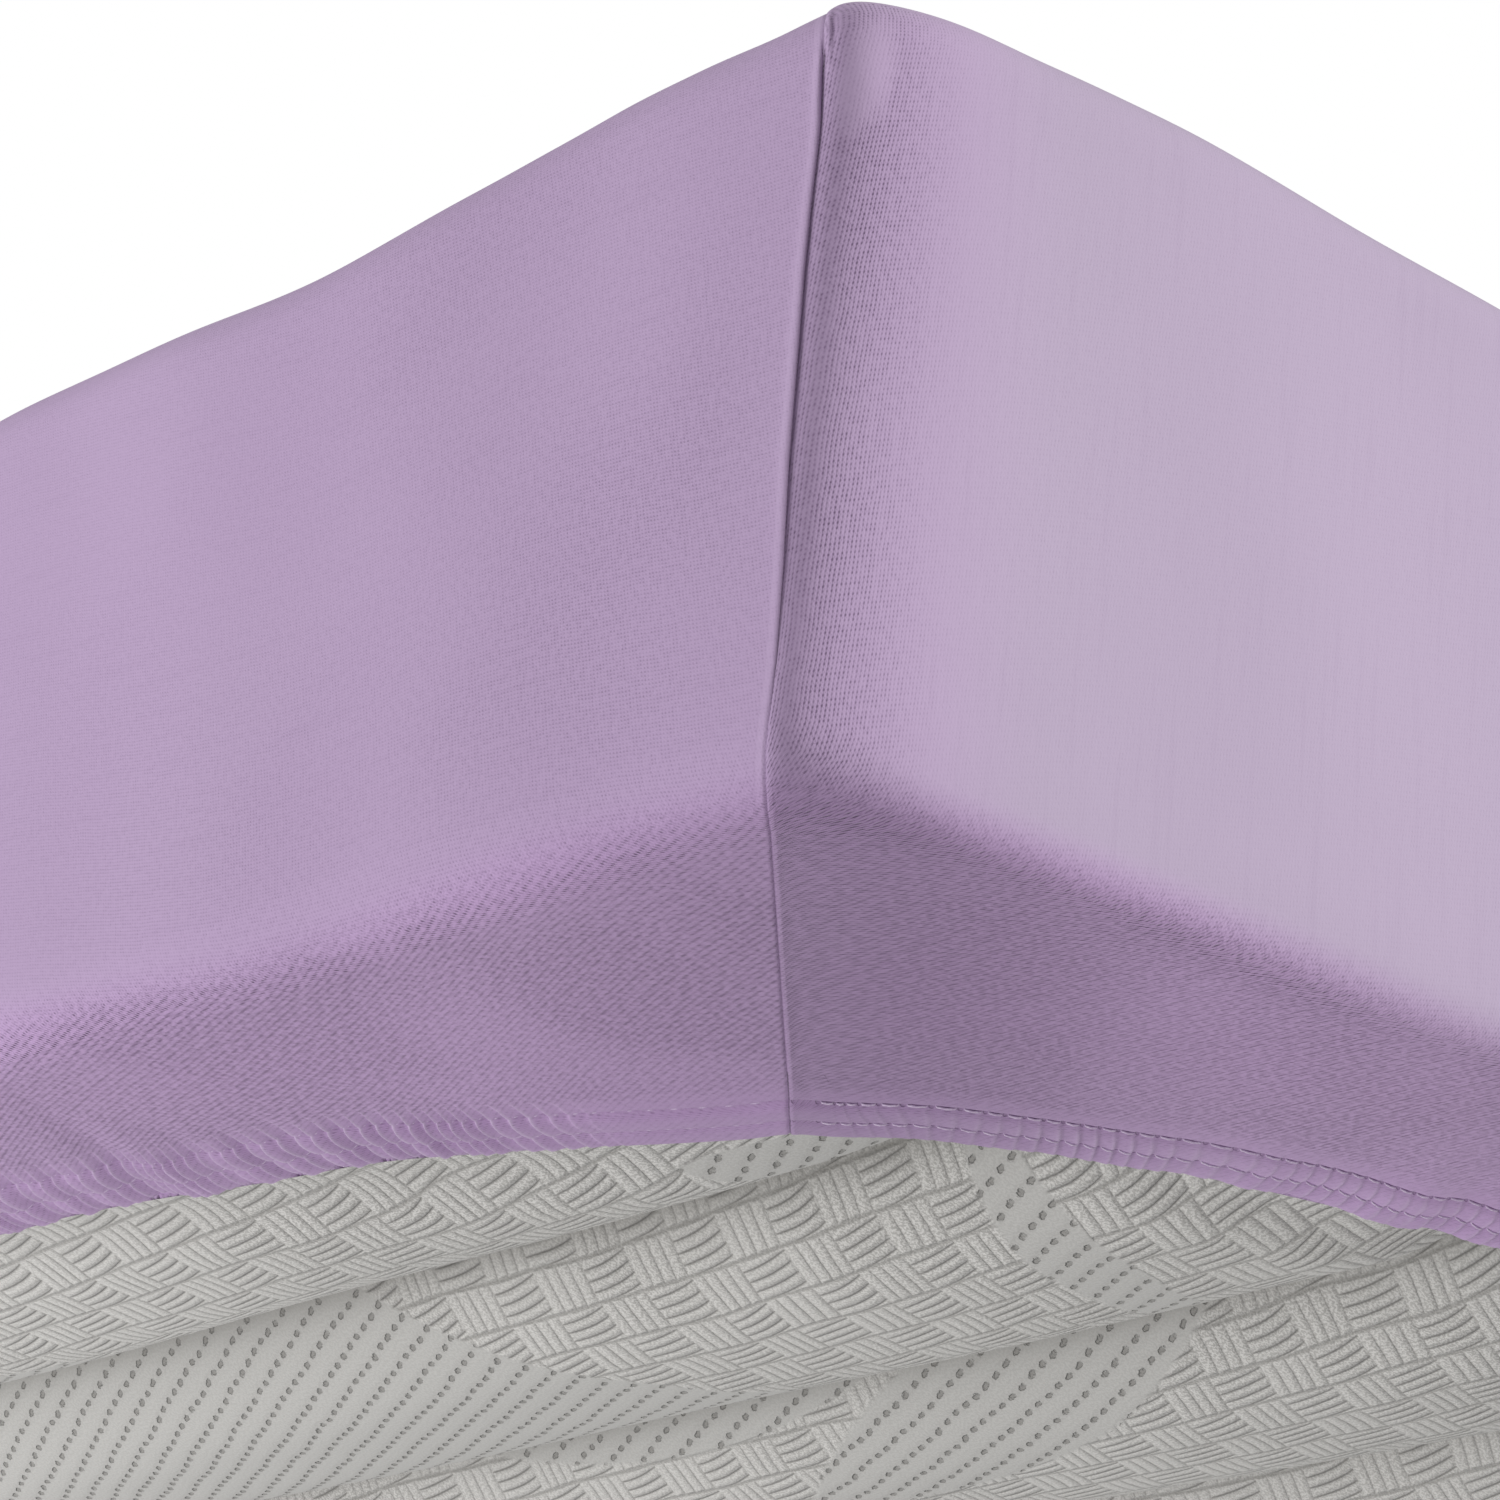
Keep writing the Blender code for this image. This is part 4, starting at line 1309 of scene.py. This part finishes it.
def basket_group():
    """Basket weave of ribs: leaning blocks whose ribs run one way or the other."""
    tree, w, given, made = new_group(
        "rib_basket",
        [
            ("Place", "NodeSocketVector", None),
            ("Row Height", "NodeSocketFloat", 0.0143),
            ("Block Width", "NodeSocketFloat", 0.0180),
        ],
        [("Height", "NodeSocketFloat"), ("Groove", "NodeSocketFloat")],
    )
    sway = w.calc("MULTIPLY", w.calc("SUBTRACT", w.noise(given["Place"], 18.0, 1.0), 0.5), 0.4)
    up = w.vector("DOT_PRODUCT", given["Place"], BASKET_UP)
    along = w.vector("DOT_PRODUCT", given["Place"], BASKET_ALONG)
    a = w.calc("ADD", w.calc("DIVIDE", up, given["Row Height"]), sway)
    b = w.calc("ADD", w.calc("DIVIDE", along, given["Block Width"]), sway)
    cell = w.calc("ADD", w.calc("FLOOR", a), w.calc("FLOOR", b))
    lying = w.calc("FLOORED_MODULO", cell, 2.0)
    standing = w.calc("SUBTRACT", 1.0, lying)
    fa = w.calc("SUBTRACT", w.calc("FRACT", a), 0.5)
    fb = w.calc("SUBTRACT", w.calc("FRACT", b), 0.5)
    square_a = w.calc("MULTIPLY", fa, fa)
    square_b = w.calc("MULTIPLY", fb, fb)
    bend = w.calc("POWER", w.calc("ADD", fb, 0.5), 2.0)
    curved = w.calc("MULTIPLY_ADD", bend, RIB_CURVE, fa)
    straight = w.calc("MULTIPLY_ADD", square_a, 0.12, fb)
    line = w.calc("MULTIPLY", straight, standing)
    line = w.calc("ADD", line, w.calc("MULTIPLY", curved, lying))
    rib = w.calc("ABSOLUTE", w.calc("SINE", w.calc("MULTIPLY", line, RIBS * math.pi)))
    border = w.ramp(w.calc("ABSOLUTE", fa), 0.43, 0.5)
    side = w.ramp(w.calc("ABSOLUTE", fb), 0.43, 0.5)
    crown = w.calc("MULTIPLY_ADD", w.calc("ADD", square_a, square_b), -1.3, 1.0)
    body = w.calc("MULTIPLY", w.calc("POWER", rib, 0.7), crown)
    body = w.calc("MULTIPLY", body, w.calc("MULTIPLY_ADD", lying, 0.35, 0.65))
    body = w.calc("ADD", body, w.calc("MULTIPLY", standing, 0.25))
    edge = w.calc("MAXIMUM", w.calc("MULTIPLY", border, 0.7), w.calc("MULTIPLY", side, 0.35))
    height = w.calc("MULTIPLY", body, w.calc("SUBTRACT", 1.0, edge))
    between = w.calc("MULTIPLY", w.ramp(rib, 0.50, 0.0), w.calc("MULTIPLY_ADD", lying, 0.60, 0.35))
    groove = w.calc("MAXIMUM", between, w.calc("MULTIPLY", border, 0.75))
    w.feed(made["Height"], height)
    w.feed(made["Groove"], groove)
    return tree


# The pits' lattice: from a place to the count along a row, and to the count of rows.
PIT_STEP = (169.4, 5.8, 0.0)
PIT_ROW = (-64.2, -140.2, 0.0)


def pit_group():
    """Slanting rows of small long pits."""
    tree, w, given, made = new_group(
        "rows_of_pits",
        [
            ("Place", "NodeSocketVector", None),
            ("Pit Length", "NodeSocketFloat", 0.27),
            ("Pit Width", "NodeSocketFloat", 0.115),
        ],
        [("Pit", "NodeSocketFloat"), ("Row", "NodeSocketFloat")],
    )
    sway = w.calc("MULTIPLY", w.calc("SUBTRACT", w.noise(given["Place"], 60.0, 1.0), 0.5), 0.35)
    row = w.calc("ADD", w.vector("DOT_PRODUCT", given["Place"], PIT_ROW), sway)
    step = w.calc("ADD", w.vector("DOT_PRODUCT", given["Place"], PIT_STEP), sway)
    fr = w.calc("SUBTRACT", w.calc("FRACT", row), 0.5)
    fs = w.calc("SUBTRACT", w.calc("FRACT", step), 0.5)
    wide = w.calc("DIVIDE", fr, given["Pit Width"])
    long = w.calc("DIVIDE", fs, given["Pit Length"])
    far = w.calc("ADD", w.calc("POWER", wide, 2.0), w.calc("POWER", long, 2.0))
    rough = w.ramp(w.noise(given["Place"], 900.0, 1.0), 0.3, 0.7, -0.45, 0.45)
    w.feed(made["Pit"], w.ramp(w.calc("ADD", far, rough), 1.5, 0.2))
    w.feed(made["Row"], w.ramp(w.calc("ABSOLUTE", fr), 0.38, 0.05))
    return tree


def start_material(name, roughness):
    """A new dull material, with its wiring and its shader."""
    material = bpy.data.materials.new(name)
    material.use_nodes = True
    w = Wiring(material.node_tree)
    shader = material.node_tree.nodes["Principled BSDF"]
    shader.inputs["Roughness"].default_value = roughness
    shader.inputs["Specular IOR Level"].default_value = 0.25
    return material, w, shader


def add_group(w, tree, **inputs):
    """Places a shared group in a material, with the material's own values."""
    node = w.tree.nodes.new("ShaderNodeGroup")
    node.node_tree = tree
    for name, value in inputs.items():
        w.feed(node.inputs[name.replace("_", " ")], value)
    return node.outputs


def bump(w, shader, height, distance, strength):
    """Gives the surface a low relief."""
    node = w.put("ShaderNodeBump", Height=height, Distance=distance, Strength=strength)
    w.feed(shader.inputs["Normal"], node.outputs["Normal"])


LILAC = (0.500, 0.360, 0.566, 1.0)
LILAC_DEEP = (0.205, 0.122, 0.250, 1.0)
# Painted glare: a greyer lilac for the end's wall away from the seam.
LILAC_PAINTED_GLARE = (0.466, 0.372, 0.520, 1.0)
# Painted light: a paler, fuller lilac for the underside.
LILAC_UNDER_PAINTED_LIGHT = (0.622, 0.410, 0.708, 1.0)
LILAC_HOLE = (0.120, 0.065, 0.150, 1.0)
LILAC_PALE = (0.600, 0.470, 0.660, 1.0)
THREAD_COLOUR = (0.74, 0.62, 0.80, 1.0)
TICKING_GREY = (0.70, 0.685, 0.66, 1.0)
TICKING_DARK = (0.20, 0.19, 0.175, 1.0)
TICKING_PALE = (0.57, 0.56, 0.54, 1.0)


def uv_places(w, name):
    """Both measures of one of the cloth's maps."""
    node = w.put("ShaderNodeUVMap", {"uv_map": name})
    return w.put("ShaderNodeSeparateXYZ", Vector=node.outputs["UV"]).outputs


def within(w, value, low, high, soft):
    """1 between two values and 0 outside them."""
    return w.calc("MULTIPLY", w.ramp(value, low - soft, low), w.ramp(value, high + soft, high))


HOLE_LENGTH = 0.00040
HOLE_WIDTH = 0.00045


def needle_holes(w):
    """The sewn holes of the hem's two lines of stitches."""
    split = uv_places(w, "hem")
    share = w.calc("FRACT", split["X"])
    share = w.calc("MINIMUM", share, w.calc("SUBTRACT", 1.0, share))
    along = w.calc("POWER", w.calc("MULTIPLY", share, GATHER / HOLE_LENGTH), 2.0)
    spots = []
    for line in (CASING_WIDTH, SECOND_SEAM):
        away = w.calc("DIVIDE", w.calc("SUBTRACT", split["Y"], line), HOLE_WIDTH)
        spots.append(w.ramp(w.calc("ADD", along, w.calc("POWER", away, 2.0)), 1.4, 0.3))
    return w.calc("MAXIMUM", *spots)


def knit_on_sheet(w, knit, place, away, under):
    """The knit's holes and height: on the panels, and drawn askew under the mattress."""
    end = w.ramp(away, -0.0001, 0.0001)
    wall = add_group(w, knit, Place=place, Columns=WALL_COLUMNS, Courses=WALL_COURSES)
    side_under = add_group(
        w, knit, Place=place, Columns=SIDE_UNDER_COLUMNS, Courses=SIDE_UNDER_COURSES
    )
    end_under = add_group(
        w, knit, Place=place, Columns=END_UNDER_COLUMNS, Courses=END_UNDER_COURSES
    )
    found = []
    for name in ("Hole", "Height"):
        low = w.blend(end, side_under[name], end_under[name])
        found.append(w.blend(under, wall[name], low))
    return found


def how_open(w, place, away, under):
    """How open the knit lies: most beside the seam and on the underside."""
    patch = w.ramp(w.noise(place, 11.0, 2.0), 0.32, 0.68, 0.75, 1.25)
    end_wall = w.calc("MULTIPLY_ADD", w.ramp(away, 0.034, 0.006), 0.55, 0.10)
    side_wall = w.ramp(away, -0.30, -0.02, 0.18, 0.36)
    wall = w.blend(w.ramp(away, -0.0002, 0.0002), side_wall, end_wall)
    low = w.ramp(away, 0.30, 0.05, 0.80, 1.0)
    return w.calc("MULTIPLY", w.blend(under, wall, low), patch)


# Places on the jersey's maps. Down the cloth the underside starts between the first two,
# and the casing starts between the next two, which are distances from the hem's edge.
UNDER_START = (0.140, 0.154)
CASING_START = (0.034, 0.024)
# From the seam: even bands beside it on the wall and on the underside, painted paler as a
# highlight, and half the width of its own line.
WALL_BAND = (-0.0024, -0.0003)
UNDER_STRIP = (0.0004, 0.0008)
BAND_SOFTNESS = 0.0006
SEAM_LINE = 0.0002
# The tuck's smooth face, painted paler as a highlight: from the seam and down the cloth, its size
# and its lean.
PUFF_PLACE = (0.0095, 0.0150)
PUFF_SIZE = (0.0052, 0.0120)
PUFF_LEAN = 0.45
# Painted shade: how much deeper the underside is beside the seam. Then how much paler the random
# clouds are, and the even cloth as a painted highlight.
END_PAINTED_SHADE = 0.46
SIDE_PAINTED_SHADE = 0.26
CLOUD_LIGHT = 0.12
EVEN_PAINTED_HIGHLIGHT = 0.16


def even_and_highlit_cloth(w, away, drop, under, over):
    """Where the knit is drawn even and painted paler as a highlight: beside the seam, and on the
    tuck at its top.
    """
    band = w.calc("MULTIPLY", within(w, away, *WALL_BAND, BAND_SOFTNESS), over)
    strip = w.calc("MULTIPLY", within(w, away, *UNDER_STRIP, BAND_SOFTNESS), under)
    beside = w.calc("MULTIPLY", w.calc("MAXIMUM", band, strip), 0.6)
    puff_x = w.calc("DIVIDE", w.calc("SUBTRACT", away, PUFF_PLACE[0]), PUFF_SIZE[0])
    puff_y = w.calc("DIVIDE", w.calc("SUBTRACT", drop, PUFF_PLACE[1]), PUFF_SIZE[1])
    lean = w.calc("MULTIPLY_ADD", puff_y, PUFF_LEAN, puff_x)
    puff = w.calc("ADD", w.calc("POWER", lean, 2.0), w.calc("POWER", puff_y, 2.0))
    return w.calc("MAXIMUM", beside, w.ramp(puff, 1.5, 0.1))


def jersey_shades(w, away, under, over, even_and_highlit, tone):
    """The jersey's colour without its knit: a greyer far end (painted glare), a paler underside
    (painted light), painted shade beside the seam, paler clouds and painted highlights.
    """
    # Painted glare: the end's wall turns a greyer lilac away from the seam.
    painted_glare = w.calc("MULTIPLY", w.ramp(away, 0.012, 0.060), over)
    # Painted light: the underside gets its own paler, fuller lilac.
    colour = w.mix(under, w.mix(painted_glare, LILAC, LILAC_PAINTED_GLARE), LILAC_UNDER_PAINTED_LIGHT)
    # Painted shade: the underside is deeper beside the seam, more on the end's side.
    right = w.calc("MULTIPLY", w.ramp(away, 0.0, 0.0004), w.ramp(away, 0.112, 0.010))
    left = w.calc("MULTIPLY", w.ramp(away, -0.090, 0.0), w.ramp(away, 0.0004, 0.0))
    left = w.calc("MULTIPLY", left, SIDE_PAINTED_SHADE)
    painted_shade = w.calc("ADD", w.calc("MULTIPLY", right, END_PAINTED_SHADE), left)
    colour = w.mix(w.calc("MULTIPLY", painted_shade, under), colour, LILAC_DEEP)
    # Paler random clouds, and a painted highlight on the even cloth beside the seam and on the
    # tuck.
    clouds_and_highlight = w.calc("MULTIPLY", w.ramp(tone["Cloud"], 0.35, 0.70), CLOUD_LIGHT)
    clouds_and_highlight = w.calc("ADD", clouds_and_highlight, w.calc("MULTIPLY", even_and_highlit, EVEN_PAINTED_HIGHLIGHT))
    return w.mix(clouds_and_highlight, colour, LILAC_PALE)


def hem_shades(w, colour, height, away, casing):
    """The hem's tones: double cloth, painted shade deep in the gathers, painted highlights on
    their crests, and needle holes.
    """
    fold = uv_places(w, "fold")
    colour = w.mix(w.calc("MULTIPLY", casing, 0.18), colour, LILAC_DEEP)
    # Painted shade: darker where the cloth sinks between the gathers.
    colour = w.mix(w.ramp(fold["X"], 0.3, 1.3, 0.0, 0.08), colour, LILAC_DEEP)
    # Painted highlight: a paler line along each gather's crest.
    colour = w.mix(w.calc("MULTIPLY", fold["Y"], 0.85), colour, LILAC_PALE)
    holes = w.calc("MULTIPLY", needle_holes(w), w.ramp(away, 0.0, 0.001, 0.15, 1.0))
    colour = w.mix(w.calc("MULTIPLY", holes, 0.30), colour, LILAC_DEEP)
    return colour, w.calc("SUBTRACT", height, holes)


def jersey_material(name, knit, yarn, hemmed=False):
    """The lilac jersey, and with hemmed its casing over the elastic."""
    material, w, shader = start_material(name, 0.92)
    place = w.put("ShaderNodeUVMap", {"uv_map": "cloth"}).outputs["UV"]
    tone = add_group(w, yarn, Place=place)
    seam = uv_places(w, "seam")
    away, drop = seam["X"], seam["Y"]
    under = w.ramp(drop, *UNDER_START)
    over = w.calc("SUBTRACT", 1.0, under)
    hole, height = knit_on_sheet(w, knit, place, away, under)

    even_and_highlit = even_and_highlit_cloth(w, away, drop, under, over)
    open_knit = how_open(w, place, away, under)
    open_knit = w.calc("MULTIPLY", open_knit, w.calc("MULTIPLY_ADD", even_and_highlit, -0.8, 1.0))
    open_knit = w.calc("MINIMUM", open_knit, 1.0)
    if hemmed:
        casing = w.ramp(uv_places(w, "hem")["Y"], *CASING_START)
        open_knit = w.calc("MULTIPLY", open_knit, w.calc("MULTIPLY_ADD", casing, -0.6, 1.0))

    colour = jersey_shades(w, away, under, over, even_and_highlit, tone)
    hole_share = w.calc("MULTIPLY", w.calc("MULTIPLY", hole, open_knit), 0.90)
    colour = w.mix(hole_share, colour, w.mix(under, LILAC_DEEP, LILAC_HOLE))
    streak = w.calc("MULTIPLY", w.ramp(tone["Streak"], 0.50, 0.78), 0.05)
    colour = w.mix(streak, colour, LILAC_DEEP)
    line = within(w, away, -SEAM_LINE, SEAM_LINE, 0.0003)
    colour = w.mix(w.calc("MULTIPLY", line, 0.30), colour, LILAC_DEEP)
    height = w.calc("MULTIPLY", height, open_knit)
    height = w.calc("ADD", height, w.calc("MULTIPLY", tone["Fleck"], 0.22))
    if hemmed:
        colour, height = hem_shades(w, colour, height, away, casing)
    w.feed(shader.inputs["Base Color"], colour)
    bump(w, shader, height, 0.00030, 0.9)
    shader.inputs["Sheen Weight"].default_value = 0.25
    shader.inputs["Sheen Roughness"].default_value = 0.5
    shader.inputs["Sheen Tint"].default_value = (0.92, 0.85, 0.96, 1.0)
    return material


# The ticking's plain leaves, in from the long side and in from the end: where each starts
# and stops and how far its sides bulge. They repeat in mirrored fields.
Leaf = namedtuple("Leaf", "start stop bulge")
LEAVES = (
    Leaf((0.280, 0.196), (0.135, 0.150), 0.012),
    Leaf((0.156, 0.136), (0.100, 0.200), 0.018),
    Leaf((0.268, 0.180), (0.360, 0.430), 0.024),
    Leaf((0.285, 0.310), (0.150, 0.680), 0.095),
    Leaf((0.430, 0.020), (0.330, 0.110), 0.020),
)
LEAF_FIELD = (0.45, 0.62)
LEAF_EDGE = 0.0012
GROOVE_PAINTED_SHADE_REACH = 0.016  # from a sewn groove to where its painted shade ends


def leaf_zones(w, split):
    """Where the ticking is plain with pits: leaves that repeat in mirrored fields."""
    field_across, field_along = LEAF_FIELD
    across = w.calc("PINGPONG", w.calc("ADD", split["Y"], WIDTH / 2), field_across)
    along = w.calc("PINGPONG", w.calc("SUBTRACT", LENGTH / 2, split["X"]), field_along)
    place = w.put("ShaderNodeCombineXYZ", X=across, Y=along).outputs["Vector"]
    found = 0.0
    for leaf in LEAVES:
        start = Vector((*leaf.start, 0))
        run = Vector((*leaf.stop, 0)) - start
        aside = Vector((-run.y, run.x, 0)) / run.length
        here = w.vector("SUBTRACT", place, start)
        share = w.calc("DIVIDE", w.vector("DOT_PRODUCT", here, run), run.length_squared)
        from_line = w.calc("ABSOLUTE", w.vector("DOT_PRODUCT", here, aside))
        swell = w.calc("MULTIPLY", share, w.calc("SUBTRACT", 1.0, share))
        past = w.calc("MULTIPLY_ADD", swell, -4.0 * leaf.bulge, from_line)
        found = w.calc("MAXIMUM", found, w.ramp(past, LEAF_EDGE, -LEAF_EDGE))
    return found


def ticking_material(basket, pits, yarn):
    """The mattress's pale grey ticking: ribs in a basket, plain leaves with pits, and painted
    shade in the sewn grooves.
    """
    material, w, shader = start_material("ticking", 0.93)
    place = w.put("ShaderNodeUVMap", {"uv_map": "cloth"}).outputs["UV"]
    split = w.put("ShaderNodeSeparateXYZ", Vector=place).outputs
    weave = add_group(w, basket, Place=place)
    holes = add_group(w, pits, Place=place)
    tone = add_group(
        w, yarn, Place=place, Cloud_Scale=7.0, Streak_Scale=900.0, Fleck_Scale=1300.0
    )
    zone = leaf_zones(w, split)
    worn = w.ramp(tone["Cloud"], 0.35, 0.65, 0.6, 1.0)
    melange = w.ramp(tone["Fleck"], 0.44, 0.56)
    ribbed = w.mix(w.calc("MULTIPLY", weave["Groove"], 0.62), TICKING_GREY, TICKING_DARK)
    flecked = w.calc("MULTIPLY", w.calc("MULTIPLY", melange, worn), 0.46)
    ribbed = w.mix(flecked, ribbed, TICKING_DARK)
    plain = w.mix(w.calc("MULTIPLY", holes["Pit"], 0.60), TICKING_PALE, TICKING_DARK)
    plain = w.mix(w.calc("MULTIPLY", holes["Row"], 0.08), plain, TICKING_DARK)
    plain = w.mix(w.calc("MULTIPLY", melange, 0.16), plain, TICKING_DARK)
    colour = w.mix(zone, ribbed, plain)
    # Painted shade: the ticking darkens into each sewn groove between the rolls.
    crease = w.ramp(uv_places(w, "roll")["X"], GROOVE_PAINTED_SHADE_REACH, 0.0)
    colour = w.mix(w.calc("MULTIPLY", w.calc("POWER", crease, 2.0), 0.75), colour, TICKING_DARK)
    w.feed(shader.inputs["Base Color"], colour)
    rib_height = w.calc("ADD", weave["Height"], w.calc("MULTIPLY", tone["Fleck"], 0.22))
    pit_height = w.calc("SUBTRACT", 0.75, w.calc("MULTIPLY", holes["Pit"], 0.7))
    pit_height = w.calc("ADD", pit_height, w.calc("MULTIPLY", tone["Fleck"], 0.06))
    pit_height = w.calc("SUBTRACT", pit_height, w.calc("MULTIPLY", holes["Row"], 0.12))
    keep = w.calc("SUBTRACT", 1.0, zone)
    height = w.calc("MULTIPLY", rib_height, keep)
    height = w.calc("ADD", height, w.calc("MULTIPLY", pit_height, zone))
    bump(w, shader, height, 0.0013, 0.9)
    shader.inputs["Sheen Weight"].default_value = 0.15
    shader.inputs["Sheen Roughness"].default_value = 0.5
    return material


def thread_material(yarn):
    """The hem's sewing thread, a little paler than the jersey."""
    material, w, shader = start_material("hem_thread", 0.6)
    place = w.put("ShaderNodeTexCoord").outputs["Object"]
    tone = add_group(w, yarn, Place=place)
    colour = w.mix(w.ramp(tone["Fleck"], 0.35, 0.7), THREAD_COLOUR, LILAC_PALE)
    w.feed(shader.inputs["Base Color"], colour)
    bump(w, shader, tone["Fleck"], 0.0001, 0.5)
    return material


# --- Pieces --------------------------------------------------------------------------

sheet = make_sheet()
hems = [make_hem(number) for number in range(4)]
outer_stitches = make_stitches("hem_stitches_outer", CASING_WIDTH, 0.0021)
inner_stitches = make_stitches("hem_stitches_inner", SECOND_SEAM, 0.0012)
mattress = make_mattress()

knit = knit_group()
yarn = fibre_group()
jersey = jersey_material("jersey", knit, yarn)
hem_jersey = jersey_material("jersey_hem", knit, yarn, hemmed=True)
thread = thread_material(yarn)
ticking = ticking_material(basket_group(), pit_group(), yarn)
for piece, material, slot in (
    (sheet, jersey, "jersey"),
    *((hem, hem_jersey, "jersey") for hem in hems),
    (outer_stitches, thread, "jersey"),
    (inner_stitches, thread, "jersey"),
    (mattress, ticking, "ticking"),
):
    piece.data.materials.append(material)
    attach(piece, "root")
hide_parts("fitted_sheet")
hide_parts("mattress")


# --- Floor, light and camera ---------------------------------------------------------

VIEW_UNIT = 0.150  # the height of the corner between its sharp edges
VIEW_DISTANCE = Vector((3.65687, -2.92431, -1.74765)) * VIEW_UNIT
VIEW_TURN = math.radians(52.0707)
VIEW_RISE = math.radians(20.9275)
VIEW_ROLL = math.radians(5.505)
LENS = 111.63
WORLD_LIGHT = 0.45  # the world's light on the object, where white seen directly is 1
FLOOR_REACH = 14.0
FLOOR_DROP = 0.0005  # under the resting plane
FLOOR_GREY = (0.82, 0.82, 0.82, 1)

Lamp = namedtuple("Lamp", "name place target size power colour")
LAMPS = (
    Lamp("side_softbox", (-0.6, -2.4, 0.3), (0.9, -0.45, 0.08), 1.6, 30, (1, 1, 1)),
    Lamp("end_softbox", (3.0, 0.9, 0.5), (1.0, -0.2, 0.08), 1.4, 50, (0.97, 1, 0.94)),
    Lamp("low_softbox", (0.0, -0.75, -0.75), (0.85, -0.35, 0.0), 0.7, 6.5, (1, 1, 1)),
)


def make_camera():
    """The camera below the corner of the foot end, looking up past it."""
    data = bpy.data.cameras.new("camera")
    data.lens = LENS
    data.sensor_width = 36
    data.clip_start = 0.05
    camera = bpy.data.objects.new("camera", data)
    bpy.context.scene.collection.objects.link(camera)
    level = math.cos(VIEW_RISE)
    ahead = (-level * math.sin(VIEW_TURN), level * math.cos(VIEW_TURN), math.sin(VIEW_RISE))
    forward = Vector(ahead)
    right = forward.cross(Vector((0, 0, 1))).normalized()
    up = right.cross(forward)
    tilted_right = right * math.cos(VIEW_ROLL) + up * math.sin(VIEW_ROLL)
    tilted_up = up * math.cos(VIEW_ROLL) - right * math.sin(VIEW_ROLL)
    turn = Matrix((tilted_right, tilted_up, -forward)).transposed()
    corner = Vector((LENGTH / 2, -WIDTH / 2, 0))
    camera.matrix_world = Matrix.Translation(corner + VIEW_DISTANCE) @ turn.to_4x4()
    bpy.context.scene.camera = camera


def make_lamp(given):
    """A softbox that lights the object and isn't seen itself."""
    data = bpy.data.lights.new(given.name, "AREA")
    data.shape = "SQUARE"
    data.size = given.size
    data.energy = given.power
    data.color = given.colour
    lamp = bpy.data.objects.new(given.name, data)
    lamp.location = given.place
    aim = Vector(given.target) - Vector(given.place)
    lamp.rotation_euler = aim.to_track_quat("-Z", "Y").to_euler()
    lamp.visible_camera = False
    bpy.context.scene.collection.objects.link(lamp)


def make_world():
    """White behind everything, and a softer even light on the object."""
    world = bpy.data.worlds.new("studio")
    world.use_nodes = True
    nodes = world.node_tree.nodes
    nodes.clear()
    w = Wiring(world.node_tree)
    seen = w.put("ShaderNodeLightPath").outputs["Is Camera Ray"]
    strength = w.calc("MULTIPLY_ADD", seen, 1 - WORLD_LIGHT, WORLD_LIGHT)
    back = w.put("ShaderNodeBackground", Color=(1, 1, 1, 1), Strength=strength)
    out = w.put("ShaderNodeOutputWorld")
    world.node_tree.links.new(back.outputs[0], out.inputs["Surface"])
    bpy.context.scene.world = world


def make_floor():
    """A pale floor under the object, seen only from above it."""
    mesh = bpy.data.meshes.new("floor")
    signs = ((-1, -1), (1, -1), (1, 1), (-1, 1))
    corners = [(x * FLOOR_REACH, y * FLOOR_REACH, -FLOOR_DROP) for x, y in signs]
    mesh.from_pydata(corners, [], [(0, 1, 2, 3)])
    floor = bpy.data.objects.new("floor", mesh)
    bpy.context.scene.collection.objects.link(floor)
    material = bpy.data.materials.new("floor")
    material.use_nodes = True
    w = Wiring(material.node_tree)
    nodes = material.node_tree.nodes
    shader = nodes["Principled BSDF"]
    shader.inputs["Base Color"].default_value = FLOOR_GREY
    shader.inputs["Roughness"].default_value = 0.9
    behind = w.put("ShaderNodeNewGeometry").outputs["Backfacing"]
    clear = w.put("ShaderNodeBsdfTransparent")
    both = w.put("ShaderNodeMixShader")
    w.feed(both.inputs[0], behind)
    w.feed(both.inputs[1], shader.outputs[0])
    w.feed(both.inputs[2], clear.outputs[0])
    w.feed(nodes["Material Output"].inputs["Surface"], both.outputs[0])
    mesh.materials.append(material)
    floor.visible_diffuse = False
    floor.visible_glossy = False
    floor.visible_shadow = False


make_camera()
make_world()
make_floor()
for lamp in LAMPS:
    make_lamp(lamp)
bpy.context.scene.view_settings.view_transform = "Standard"
